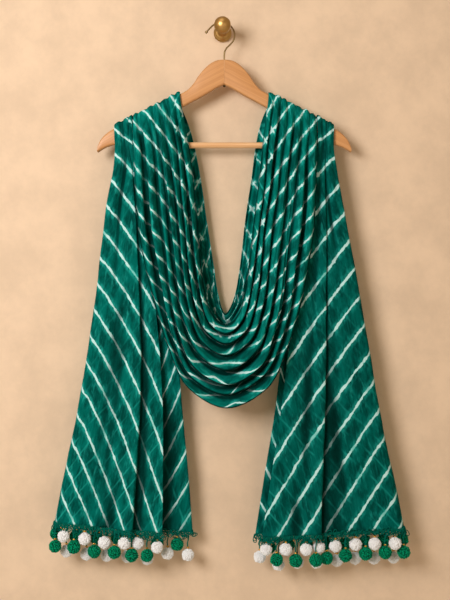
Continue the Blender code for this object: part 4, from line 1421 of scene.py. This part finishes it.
# Seeds of the yarn ends' widths, the pom-poms' turns and their sizes
WIDTH_SEED = 3
SPIN_SEED = 7
SIZE_SEED = 11

# Beads: segments, rings, how squat they are and how far they lean
BEAD_SEGMENTS = 12
BEAD_RINGS = 7
BEAD_SQUAT = 0.86
BEAD_LEAN = (0.2, 0.2, 3.1)

# How many sides a cord and a crocheted loop's thread have
CORD_SIDES = 5
LOOP_SIDES = 4


def other_way(angles):
    """The same angles the other way."""
    return tuple(-angle for angle in angles)


def tufted_balls(name, centres, finish, seed, size):
    """Pom-poms: yarn ends all over a core, turned differently at each centre."""
    settings = bpy.context.scene.dupatta_edging
    growth = Growth(name + "_growth", radius=settings.pompom_radius, tuft_length=settings.tuft_length,
                    tuft_width=settings.tuft_width, seed=seed)
    long = growth.size("Tuft length")
    wide = growth.size("Tuft width")
    core_radius = growth.math("SUBTRACT", growth.size("Radius"), long)
    roots = growth.ico(core_radius, BALL_SUBDIVISIONS)
    core = growth.ico(growth.math("MULTIPLY_ADD", long, CORE_FILLS, core_radius), BALL_SUBDIVISIONS)
    position = growth.first("GeometryNodeInputPosition", {})
    tuft = growth.first("GeometryNodeTransform", {
        "Geometry": growth.sphere(0.5, BUD_SEGMENTS, BUD_RINGS),
        "Scale": growth.vector(wide, wide, long),
        "Translation": growth.vector(z=growth.math("MULTIPLY", long, 0.5))})
    height = growth.node("ShaderNodeSeparateXYZ", {0: position}).outputs[2]
    tip = {"Geometry": tuft, "Name": "tip", "Value": growth.math("DIVIDE", height, long)}
    tuft = growth.first("GeometryNodeStoreNamedAttribute", tip, data_type="FLOAT")
    lean = growth.random_turn(other_way(YARN_LEAN), YARN_LEAN, growth.size("Seed"))
    upright = growth.aimed("GeometryNodeInputNormal", "Z")
    clump = growth.node("ShaderNodeTexVoronoi", {"Vector": position, "Scale": CLUMPS})
    length = growth.math("MULTIPLY_ADD", clump.outputs["Distance"], -CLUMP_FALL, CLUMP_LENGTH)
    width = growth.random(*YARN_WIDTHS, WIDTH_SEED)
    tufts = growth.planted(roots, tuft, growth.turned(upright, lean), growth.vector(width, width, length))
    ball = growth.realized(growth.joined(core, tufts))
    spin = growth.random_turn(other_way(ALL_WAYS), ALL_WAYS, SPIN_SEED)
    sizes = growth.random(size - BALL_SIZE_VARIES, size + BALL_SIZE_VARIES, SIZE_SEED)
    growth.end(growth.planted(growth.geometry(), ball, spin, sizes), finish, smooth=False)
    return growth.grow(name, centres, [])


def beads(name, centres, scales, finish):
    """Round beads with a slightly flat top and bottom."""
    settings = bpy.context.scene.dupatta_edging
    growth = Growth(name + "_growth", radius=settings.bead_radius, seed=5)
    ball = growth.sphere(growth.size("Radius"), BEAD_SEGMENTS, BEAD_RINGS)
    size = growth.first("GeometryNodeInputNamedAttribute", {"Name": "size"}, data_type="FLOAT")
    squat = growth.vector(size, size, growth.math("MULTIPLY", size, BEAD_SQUAT))
    lean = growth.random_turn(other_way(BEAD_LEAN), BEAD_LEAN, growth.size("Seed"))
    growth.end(growth.planted(growth.geometry(), ball, lean, squat), finish, smooth=True)
    return growth.grow(name, centres, [], {"size": scales})


def threads(name, lines, radius, finish):
    """Thin round cords along lines of points."""
    growth = Growth(name + "_growth", radius=radius)
    cord = growth.tube(growth.line(), growth.size("Radius"), CORD_SIDES, caps=True)
    growth.end(cord, finish, smooth=True)
    points = []
    edges = []
    for run in lines:
        start = len(points)
        points += list(run)
        edges += [(start + k, start + k + 1) for k in range(len(run) - 1)]
    return growth.grow(name, points, edges)


# Rows of crochet, in mm under the hem: knots with their size, then loops with their height and
# width and how far they sway, in radians
KNOT_ROWS = table("under size", (
    (-2.8, 1.3),
    (-1.0, 1.5),
    (0.8, 1.4),
))
LOOP_ROWS = table("under height width sway", (
    (-2.0, 7.0, 6.0, 0.9),
    (0.0, 10.0, 7.5, 0.8),
    (3.0, 10.5, 7.0, 1.0),
))
KNOT_PITCH = 2.3
LOOP_PITCH = 5.0

# A knot is longer along the hem than it is deep and high, and turns between these angles
KNOT_SHAPE = (1.25, 0.8, 0.62)
KNOT_TURNS = ((-0.6, 0.3, -0.4), (0.6, 1.2, 0.4))

# How far knots and loops are moved along the hem, out and down, in mm, from and to
KNOT_JOG = ((-0.8, -0.9, -0.7), (0.8, 0.3, 0.7))
LOOP_JOG = ((-1.4, -0.8, -1.2), (1.4, 0.8, 0.6))

# A loop's points, its turns out of the hem's line and its sizes, from and to
LOOP_POINTS = 12
LOOP_TURN = (0.4, 0.7)
LOOP_SIZES = ((0.75, 1.0, 0.75), (1.25, 1.0, 1.15))

# The seeds that the first row starts from: the knots' places and turns, and the loops' places,
# turns and sizes
KNOT_SEEDS = (0, 20)
LOOP_SEEDS = (40, 60, 80)


def crochet(name, hem, finish, seed):
    """A crocheted edging: rows of knots over the hem and rows of loops under it."""
    settings = bpy.context.scene.dupatta_edging
    growth = Growth(name + "_growth", thread=settings.thread, knot_pitch=KNOT_PITCH * MM,
                    loop_pitch=LOOP_PITCH * MM, seed=seed)
    line = growth.line()
    along = growth.aimed("GeometryNodeInputTangent", "X")

    def spots(pitch, jog, under, row_seed):
        """Points along a row, moved about at random within a box."""
        inputs = {"Curve": line, "Length": growth.size(pitch)}
        row = growth.first("GeometryNodeResampleCurve", inputs, mode="LENGTH")
        low, high = ((x * MM, y * MM, (z - under) * MM) for x, y, z in jog)
        moved = growth.random(low, high, growth.math("ADD", growth.size("Seed"), float(row_seed)))
        return growth.first("GeometryNodeSetPosition", {"Geometry": row, "Offset": moved})

    parts = []
    place_seed, turn_seed = KNOT_SEEDS
    for k, (under, size) in enumerate(zip(KNOT_ROWS["under"], KNOT_ROWS["size"])):
        knot = growth.ico(size * MM, 1)
        spin = growth.random_turn(*KNOT_TURNS, k + turn_seed)
        parts.append(growth.planted(spots("Knot pitch", KNOT_JOG, under, k + place_seed), knot,
                                    growth.turned(along, spin), KNOT_SHAPE))
    names = ("under", "height", "width", "sway")
    place_seed, turn_seed, size_seed = LOOP_SEEDS
    for k, (under, height, width, sway) in enumerate(zip(*(LOOP_ROWS[label] for label in names))):
        hung = growth.first("GeometryNodeTransform", {
            "Geometry": growth.circle(0.5 * height * MM, LOOP_POINTS),
            "Rotation": (math.pi / 2.0, 0.0, 0.0), "Scale": (width / height, 1.0, 1.0),
            "Translation": (0.0, 0.0, -0.5 * height * MM)})
        swing = (LOOP_TURN[0], sway, LOOP_TURN[1])
        sways = growth.random_turn(other_way(swing), swing, k + turn_seed)
        loops = growth.planted(spots("Loop pitch", LOOP_JOG, under, k + place_seed), hung,
                               growth.turned(along, sways), growth.random(*LOOP_SIZES, k + size_seed))
        parts.append(growth.tube(growth.realized(loops), growth.size("Thread"), LOOP_SIDES, caps=False))
    growth.end(growth.joined(*parts), finish, smooth=True)
    edges = [(k, k + 1) for k in range(len(hem) - 1)]
    return growth.grow(name, hem, edges)


# ---------------------------------------------------------------- operators

class PieceOperator:
    """What every operator here shares."""

    bl_options = {"REGISTER", "UNDO"}


# Where crossed stripes show and how strongly: on the cowl from all of it, so far across, to the
# little that the rest has, the same all over the back swag, and on a tail from so far down to the
# hem
COWL_CROSSED = (22.0 * MM, 36.0 * MM)
COWL_LEAST = 0.15
BACK_CROSSED = 0.8
TAIL_CROSSED_FROM = 0.40
TAIL_CROSSED_FULLY = 0.70
TAIL_CROSSED_SHARES = (0.25, 0.9)


def crossing_near_inner_edge(finish, across, along):
    """The cowl's crossed stripes lie on its two inner folds."""
    inner = finish.step(across, COWL_CROSSED[1], COWL_CROSSED[0])
    return finish.math("MAXIMUM", inner, COWL_LEAST)


def crossing_everywhere(finish, across, along):
    """The back swag's stripes are crossed all over."""
    return BACK_CROSSED


def crossing_near_hem(finish, across, along):
    """The tails' crossed stripes lie by the hem."""
    return finish.step(along, TAIL_CROSSED_FROM, TAIL_CROSSED_FULLY, *TAIL_CROSSED_SHARES)


class DUPATTA_OT_swags(PieceOperator, bpy.types.Operator):
    """Makes the cowl in front and the swag behind the hanger"""

    bl_idname = "dupatta.swags"
    bl_label = "Cowl and back swag"

    def execute(self, context):
        thickness = context.scene.dupatta_cloth.thickness
        dye = leheriya("cowl_cloth", crossing_near_inner_edge, widen=1.18)
        cowl = cloth_shell("cowl_cloth", swag_cloth(SWAGS["cowl"]), dye, thickness)
        piece(cowl, "green_cloth", "cowl")
        dye = leheriya("back_swag_cloth", crossing_everywhere, knots=0.95, line_white=0.85)
        back = cloth_shell("back_swag_cloth", swag_cloth(SWAGS["back_swag"]), dye, thickness)
        piece(back, "green_cloth_behind", "back_swag")
        return {"FINISHED"}


class DUPATTA_OT_tails(PieceOperator, bpy.types.Operator):
    """Makes the two tails that hang from the arms"""

    bl_idname = "dupatta.tails"
    bl_label = "Tails"

    def execute(self, context):
        thickness = context.scene.dupatta_cloth.thickness
        for side, tail in TAILS.items():
            name = "tail_" + side + "_cloth"
            dye = leheriya(name, crossing_near_hem, knots=0.12, shade=tail.shade)
            made = cloth_shell(name, tail_cloth(tail), dye, thickness)
            piece(made, "green_cloth", "tail_" + side)
        return {"FINISHED"}


# How unevenly the pom-poms hang, across, out and down, with the steps of that drift from one to
# the next and from way to way; how near each other they may come, and in how many rounds those
# that are nearer are pushed apart
HANG_WANDER = (1.6 * MM, 0.8 * MM, 3.2 * MM)
HANG_STEPS = (7.7, 3.1)
BALL_SPACING = 23.2 * MM
PUSH_ROUNDS = 12

# A cord's thickness, how far it bends to each side, and at which shares of its length
CORD_RADIUS = 1.1 * MM
CORD_BEND = 0.9 * MM
CORD_BEND_PLACES = (0.35, 0.7)

# How far over a pom-pom's centre its bead sits, as a share of its radius
BEAD_LIFT = 1.14

# Small beads on the crochet: the first, every so many points of the hem, their size as a share of
# a pom-pom's bead, and how far out and how unevenly far below the hem they are
GLINT_FIRST = 5
GLINT_EVERY = 9
GLINT_SIZE = 0.55
GLINT_OUT = 0.9 * MM
GLINT_UNDER = 7.0 * MM
GLINT_WANDER = 2.6 * MM


def hung_balls(side):
    """Each pom-pom's foot on the hem, its centre and whether it is white. Where they crowd each
    other they are pushed apart."""
    places = pompom_places(side)
    ball_step, way_step = HANG_STEPS
    centres = []
    for k, (foot, drop, _) in enumerate(places):
        wander = [size * drift(k * ball_step, way * way_step, TAILS[side].seed)
                  for way, size in enumerate(HANG_WANDER)]
        centres.append(foot - np.array([0.0, 0.0, drop]) + np.array(wander))
    for _ in range(PUSH_ROUNDS):
        for k, first in enumerate(centres):
            for second in centres[k + 1:]:
                way = second - first
                apart = np.linalg.norm(way)
                if apart < BALL_SPACING:
                    push = way / apart * (BALL_SPACING - apart) / 2.0
                    first -= push
                    second += push
    return [(foot, centre, is_white) for (foot, _, is_white), centre in zip(places, centres)]


def cord_line(foot, ball, radius, bend):
    """A cord's points, from the hem to the bead over its pom-pom."""
    end = ball + np.array([0.0, 0.0, BEAD_LIFT * radius])
    aside = np.array([bend, 0.0, 0.0])
    first, second = CORD_BEND_PLACES
    return [foot, foot + (end - foot) * first + aside, foot + (end - foot) * second - aside, end]


class DUPATTA_OT_edging(PieceOperator, bpy.types.Operator):
    """Makes the crocheted edging and the cords that hang from it"""

    bl_idname = "dupatta.edging"
    bl_label = "Crocheted edging"

    def execute(self, context):
        settings = context.scene.dupatta_edging
        thread = yarn("green_thread", tuple(settings.thread_green), sheen=0.05)
        for side in ("left", "right"):
            hem, _ = hem_line(side)
            cords = [cord_line(foot, ball, settings.pompom_radius, CORD_BEND * (-1) ** k)
                     for k, (foot, ball, _) in enumerate(hung_balls(side))]
            lace = crochet("edging_" + side, hem, thread, seed=3)
            piece(lace, "pompom_wool", "pompom_trim_" + side)
            piece(threads("cords_" + side, cords, CORD_RADIUS, thread), "pompom_wool")
        return {"FINISHED"}


class DUPATTA_OT_pompoms(PieceOperator, bpy.types.Operator):
    """Makes the white and green pom-poms"""

    bl_idname = "dupatta.pompoms"
    bl_label = "Pom-poms"

    def execute(self, context):
        settings = context.scene.dupatta_edging
        # Painted shade at the roots of the yarn ends, slight on the white pom-poms, strong on the green
        white = yarn("white_wool", tuple(settings.wool_white), sheen=0.2, painted_root_shade=0.88)
        green = yarn("green_wool", tuple(settings.wool_green), sheen=0.1, painted_root_shade=0.16)
        kinds = (("pompoms_white_", True, white, 1, WHITE_BALL_SIZE),
                 ("pompoms_green_", False, green, 2, GREEN_BALL_SIZE))
        for side in ("left", "right"):
            for name, wanted, wool, seed, size in kinds:
                centres = [ball for _, ball, is_white in hung_balls(side) if is_white == wanted]
                piece(tufted_balls(name + side, centres, wool, seed, size), "pompom_wool")
        return {"FINISHED"}


class DUPATTA_OT_beads(PieceOperator, bpy.types.Operator):
    """Makes the gold beads over the pom-poms and on the crochet"""

    bl_idname = "dupatta.beads"
    bl_label = "Gold beads"

    def execute(self, context):
        settings = context.scene.dupatta_edging
        gold = aged_brass("gold_beads", tuple(settings.gold), tuple(settings.gold_dull), BEAD_ROUGHNESS)
        lift = np.array([0.0, 0.0, BEAD_LIFT * settings.pompom_radius])
        for side in ("left", "right"):
            tops = [ball + lift for _, ball, _ in hung_balls(side)]
            hem, _ = hem_line(side)
            glints = [point - np.array([0.0, GLINT_OUT, GLINT_UNDER + GLINT_WANDER * math.sin(k)])
                      for k, point in enumerate(hem[GLINT_FIRST::GLINT_EVERY])]
            sizes = [1.0] * len(tops) + [GLINT_SIZE] * len(glints)
            piece(beads("beads_" + side, tops + glints, sizes, gold), "pompom_wool")
        return {"FINISHED"}


# How rough each brass is, and up to which angle between faces, in degrees, each piece is smooth
BRASS_ROUGHNESS = 0.34
RIVET_ROUGHNESS = 0.5
BEAD_ROUGHNESS = 0.22
WOOD_SMOOTH = 35.0
WIRE_SMOOTH = 50.0
KNOB_SMOOTH = 40.0


def arm_rings(sign):
    """Sections of half the hanger, with rounded corners."""
    places = []
    for row in range(len(HANGER_ARM["out"]) - 1):
        count = ARM_CURVE_STEPS if HANGER_ARM["curved"][row] else 1
        places += [row + k / count for k in range(count)]
    places.append(len(HANGER_ARM["out"]) - 1.0)
    rings = []
    half = ARM_THICKNESS / 2.0
    out = through(HANGER_ARM["out"], places) * MM
    top = through(HANGER_ARM["top"], places) * MM
    bottom = through(HANGER_ARM["bottom"], places) * MM
    corner = np.radians(np.linspace(0.0, 90.0, ARM_CORNER_STEPS + 1))
    for x, top_z, bottom_z in zip(out, top, bottom):
        cut = min(ARM_ROUNDING, (top_z - bottom_z) / 3.0)
        ring = []
        for y_sign, z_centre, turn in ((1.0, top_z - cut, 0.0), (-1.0, top_z - cut, 90.0),
                                       (-1.0, bottom_z + cut, 180.0), (1.0, bottom_z + cut, 270.0)):
            for angle in corner + math.radians(turn):
                ring.append((HANGER_X + sign * max(x, ARM_JOINT_GAP),
                             HANGER_Y + y_sign * (half - cut) + cut * math.cos(angle),
                             z_centre + cut * math.sin(angle)))
        rings.append(ring)
    return rings


class DUPATTA_OT_hanger(PieceOperator, bpy.types.Operator):
    """Makes the wooden halves of the hanger and its trouser bar"""

    bl_idname = "dupatta.hanger"
    bl_label = "Hanger"

    def execute(self, context):
        settings = context.scene.dupatta_hanger
        for side, sign in (("left", -1.0), ("right", 1.0)):
            wood = grained_wood("hanger_wood_" + side, tuple(settings.wood), tuple(settings.wood_dark),
                                -sign * ARM_SLOPE)
            arm = closed_loft("hanger_half_" + side, arm_rings(sign), wood, WOOD_SMOOTH)
            piece(arm, "hanger_wood", "hanger_arm_" + side)
        bar_wood = grained_wood("bar_wood", tuple(settings.bar_wood), tuple(settings.wood), 0.0)
        rings = [round_ring(np.array([HANGER_X + x, HANGER_Y, BAR_Z]), BACK, UP, BAR_RADIUS, BAR_SIDES)
                 for x in np.linspace(-BAR_END, BAR_END, BAR_STEPS + 1)]
        piece(closed_loft("trouser_bar", rings, bar_wood, WOOD_SMOOTH), "bar_wood", "hanger_bar")
        return {"FINISHED"}


def wire_rings():
    """Rings along the hook's wire and round the small ball on its tip."""
    count = len(HOOK_WIRE["x"])
    at = np.linspace(0.0, count - 1.0, WIRE_STEPS * (count - 1) + 1)
    x = HANGER_X + through(HOOK_WIRE["x"], at) * MM
    z = through(HOOK_WIRE["z"], at) * MM
    path = np.stack([x, np.full_like(x, HANGER_Y), z], axis=1)
    headings = np.gradient(path, axis=0)
    headings /= np.linalg.norm(headings, axis=1)[:, None]
    way = headings[-1]
    rings = [round_ring(point, BACK, np.cross(BACK, heading), WIRE_RADIUS, WIRE_SIDES)
             for point, heading in zip(path, headings)]
    tip = path[-1] + way * WIRE_TIP_OFFSET
    first = math.degrees(math.asin(WIRE_RADIUS / WIRE_TIP_RADIUS))
    for degrees in np.linspace(180.0 - first, WIRE_TIP_LAST, WIRE_TIP_RINGS):
        angle = math.radians(degrees)
        rings.append(round_ring(tip + way * WIRE_TIP_RADIUS * math.cos(angle), BACK,
                                np.cross(BACK, way), WIRE_TIP_RADIUS * math.sin(angle), WIRE_SIDES))
    return rings


def rivet_rings():
    """Rings of the wire's lower end, peened over under the hanger's joint."""
    return [round_ring(np.array([HANGER_X, HANGER_Y, z * MM]), RIGHT, BACK, radius * MM, RIVET_SIDES)
            for z, radius in zip(HOOK_RIVET["z"], HOOK_RIVET["radius"])]


def knob_rings():
    """Rings of the wall hook from its plate to the front of its ball."""
    count = len(WALL_HOOK["out"])
    at = np.linspace(0.0, count - 1.0, KNOB_STEPS * (count - 1) + 1)
    profile = list(zip(through(WALL_HOOK["out"], at), through(WALL_HOOK["radius"], at)))
    start = math.degrees(math.asin(WALL_HOOK["radius"][-1] / BALL_RADIUS))
    for degrees in np.linspace(180.0 - start, BALL_LAST, BALL_RINGS):
        angle = math.radians(degrees)
        profile.append((BALL_CENTRE + BALL_RADIUS * math.cos(angle), BALL_RADIUS * math.sin(angle)))
    return [round_ring(np.array([0.0, -out * MM, 0.0]), RIGHT, UP, radius * MM, KNOB_SIDES)
            for out, radius in profile]


class DUPATTA_OT_brass(PieceOperator, bpy.types.Operator):
    """Makes the hook's wire and the wall hook"""

    bl_idname = "dupatta.brass"
    bl_label = "Hook and wall hook"

    def execute(self, context):
        settings = context.scene.dupatta_hanger
        tarnish = tuple(settings.tarnish)
        wire = aged_brass("wire_brass", tuple(settings.wire), tarnish, BRASS_ROUGHNESS)
        piece(closed_loft("hook_wire", wire_rings(), wire, WIRE_SMOOTH), "brass", "hanger_hook")
        # Its near-black colour is painted shade for the dark gap at the hanger's joint
        rivet = aged_brass("rivet_brass", tuple(settings.rivet), tarnish, RIVET_ROUGHNESS)
        piece(closed_loft("hook_rivet", rivet_rings(), rivet, WIRE_SMOOTH), "brass")
        brass = aged_brass("wall_brass", tuple(settings.brass), tarnish, BRASS_ROUGHNESS)
        piece(closed_loft("wall_knob", knob_rings(), brass, KNOB_SMOOTH), "brass", "wall_hook")
        return {"FINISHED"}


# Stage: places and sizes in metres
WALL_Y = 0.002
WALL_HALF = 6.0
FLOOR_Z = -1.9
CAMERA_PLACE = (0.0043, -1.75, -0.4788)
CAMERA_LENS = 58.47
CAMERA_NEAREST = 0.01

# How much paler the wall's pale patches are, the height and strength of its plaster, and the
# colour and strength of the light all round
PALE_WALL = 1.17
PLASTER_BUMP = (0.6 * MM, 0.25)
SURROUND = (1.0, 0.76, 0.49)
SURROUND_STRENGTH = 0.36

# Lights: name, place, where it aims, size, which setting gives its power, and colour
LIGHTS = (
    ("key", (-1.08, -1.82, 0.10), (0.0, 0.0, -0.45), 0.95, "key_power", (1.0, 1.0, 1.0)),
    ("fill", (1.4, -2.6, -0.7), (0.0, 0.0, -0.6), 2.2, "fill_power", (1.0, 0.93, 0.84)),
    ("above", (-0.3, -0.9, 1.3), (0.0, -0.05, -0.6), 1.2, "top_power", (1.0, 0.96, 0.90)),
    ("behind", (0.8, 2.6, 0.6), (0.0, 0.0, -0.5), 2.4, "back_power", (1.0, 0.97, 0.93)),
)


def flat_square(name, corners, finish):
    """A square on the stage."""
    mesh = bpy.data.meshes.new(name)
    mesh.from_pydata(corners, [], [(0, 1, 2, 3)])
    mesh.materials.append(finish)
    made = new_object(name, mesh)


def stage_floor(settings):
    """The plain pale floor."""
    finish = Finish("floor_paint", roughness=0.7)
    finish.paint(Base_Color=tuple(settings.floor))
    far = WALL_HALF
    corners = [(-far, -far, FLOOR_Z), (far, -far, FLOOR_Z), (far, far, FLOOR_Z), (-far, far, FLOOR_Z)]
    flat_square("floor", corners, finish.material)


def stage_wall(settings):
    """The plain wall, which shows only from in front and lets other light pass."""
    finish = Finish("wall_paint", roughness=0.9)
    where = finish.place()
    pale = toned(settings.wall, PALE_WALL)
    finish.paint(Base_Color=finish.mixed(finish.shown(where, "wall_cloud"), tuple(settings.wall), pale))
    finish.paint(Normal=finish.bump(finish.grain(where, "wall_plaster"), *PLASTER_BUMP))
    nodes = finish.tree.nodes
    clear = nodes.new("ShaderNodeBsdfTransparent")
    front = finish.math("SUBTRACT", 1.0, nodes.new("ShaderNodeNewGeometry").outputs["Backfacing"])
    shown = finish.math("MULTIPLY", front, nodes.new("ShaderNodeLightPath").outputs["Is Camera Ray"])
    choose = nodes.new("ShaderNodeMixShader")
    finish.feed(choose.inputs[0], shown)
    finish.feed(choose.inputs[1], clear.outputs[0])
    finish.feed(choose.inputs[2], finish.shader.outputs[0])
    finish.feed(nodes["Material Output"].inputs["Surface"], choose.outputs[0])
    far = WALL_HALF
    corners = [(-far, WALL_Y, FLOOR_Z), (far, WALL_Y, FLOOR_Z), (far, WALL_Y, far), (-far, WALL_Y, far)]
    flat_square("wall", corners, finish.material)


def stage_light(context, settings):
    """Soft studio lights and a dim warm surround."""
    for name, place, aim, size, power, colour in LIGHTS:
        light = bpy.data.lights.new(name, "AREA")
        light.shape = "DISK"
        light.size = size
        light.energy = getattr(settings, power)
        light.color = colour
        lamp = bpy.data.objects.new(name, light)
        lamp.location = place
        lamp.rotation_euler = (Vector(aim) - Vector(place)).to_track_quat("-Z", "Y").to_euler()
        context.scene.collection.objects.link(lamp)
    world = bpy.data.worlds.new("surround")
    world.use_nodes = True
    background = world.node_tree.nodes["Background"]
    background.inputs["Color"].default_value = (*SURROUND, 1.0)
    background.inputs["Strength"].default_value = SURROUND_STRENGTH
    context.scene.world = world
    context.scene.view_settings.view_transform = "Standard"


class DUPATTA_OT_stage(PieceOperator, bpy.types.Operator):
    """Sets the wall, floor, studio light and camera"""

    bl_idname = "dupatta.stage"
    bl_label = "Stage"

    def execute(self, context):
        settings = context.scene.dupatta_stage
        stage_floor(settings)
        stage_wall(settings)
        stage_light(context, settings)
        lens = bpy.data.cameras.new("camera")
        lens.lens = CAMERA_LENS
        lens.clip_start = CAMERA_NEAREST
        camera = bpy.data.objects.new("camera", lens)
        camera.location = CAMERA_PLACE
        camera.rotation_euler = (math.pi / 2.0, 0.0, 0.0)
        context.scene.collection.objects.link(camera)
        context.scene.camera = camera
        return {"FINISHED"}


# ---------------------------------------------------------------- panel and registration

class DUPATTA_PT_sidebar(bpy.types.Panel):
    """Lists the pieces and their settings"""

    bl_label = "Dupatta stole"
    bl_idname = "DUPATTA_PT_sidebar"
    bl_space_type = "VIEW_3D"
    bl_region_type = "UI"
    bl_category = "Dupatta"

    def draw(self, context):
        for settings_name, _, operators in SECTIONS:
            box = self.layout.box()
            settings = getattr(context.scene, settings_name)
            for name in settings.bl_rna.properties.keys():
                if name not in ("rna_type", "name"):
                    box.prop(settings, name)
            for operator in operators:
                box.operator(operator.bl_idname)


SECTIONS = (
    ("dupatta_cloth", ClothSettings, (DUPATTA_OT_swags, DUPATTA_OT_tails)),
    ("dupatta_edging", EdgingSettings, (DUPATTA_OT_edging, DUPATTA_OT_pompoms, DUPATTA_OT_beads)),
    ("dupatta_hanger", HangerSettings, (DUPATTA_OT_hanger, DUPATTA_OT_brass)),
    ("dupatta_stage", StageSettings, (DUPATTA_OT_stage,)),
)


def register():
    """Registers the settings, operators and panel."""
    for name, settings, operators in SECTIONS:
        bpy.utils.register_class(settings)
        setattr(bpy.types.Scene, name, bpy.props.PointerProperty(type=settings))
        for operator in operators:
            bpy.utils.register_class(operator)
    bpy.utils.register_class(DUPATTA_PT_sidebar)


def unregister():
    """Takes them away again."""
    bpy.utils.unregister_class(DUPATTA_PT_sidebar)
    for name, settings, operators in reversed(SECTIONS):
        for operator in operators:
            bpy.utils.unregister_class(operator)
        delattr(bpy.types.Scene, name)
        bpy.utils.unregister_class(settings)


def main():
    """Makes every piece and sets the stage."""
    register()
    bpy.ops.dupatta.hanger()
    bpy.ops.dupatta.brass()
    bpy.ops.dupatta.edging()
    bpy.ops.dupatta.pompoms()
    bpy.ops.dupatta.beads()
    bpy.ops.dupatta.swags()
    bpy.ops.dupatta.tails()
    bpy.ops.dupatta.stage()


if __name__ == "__main__":
    main()
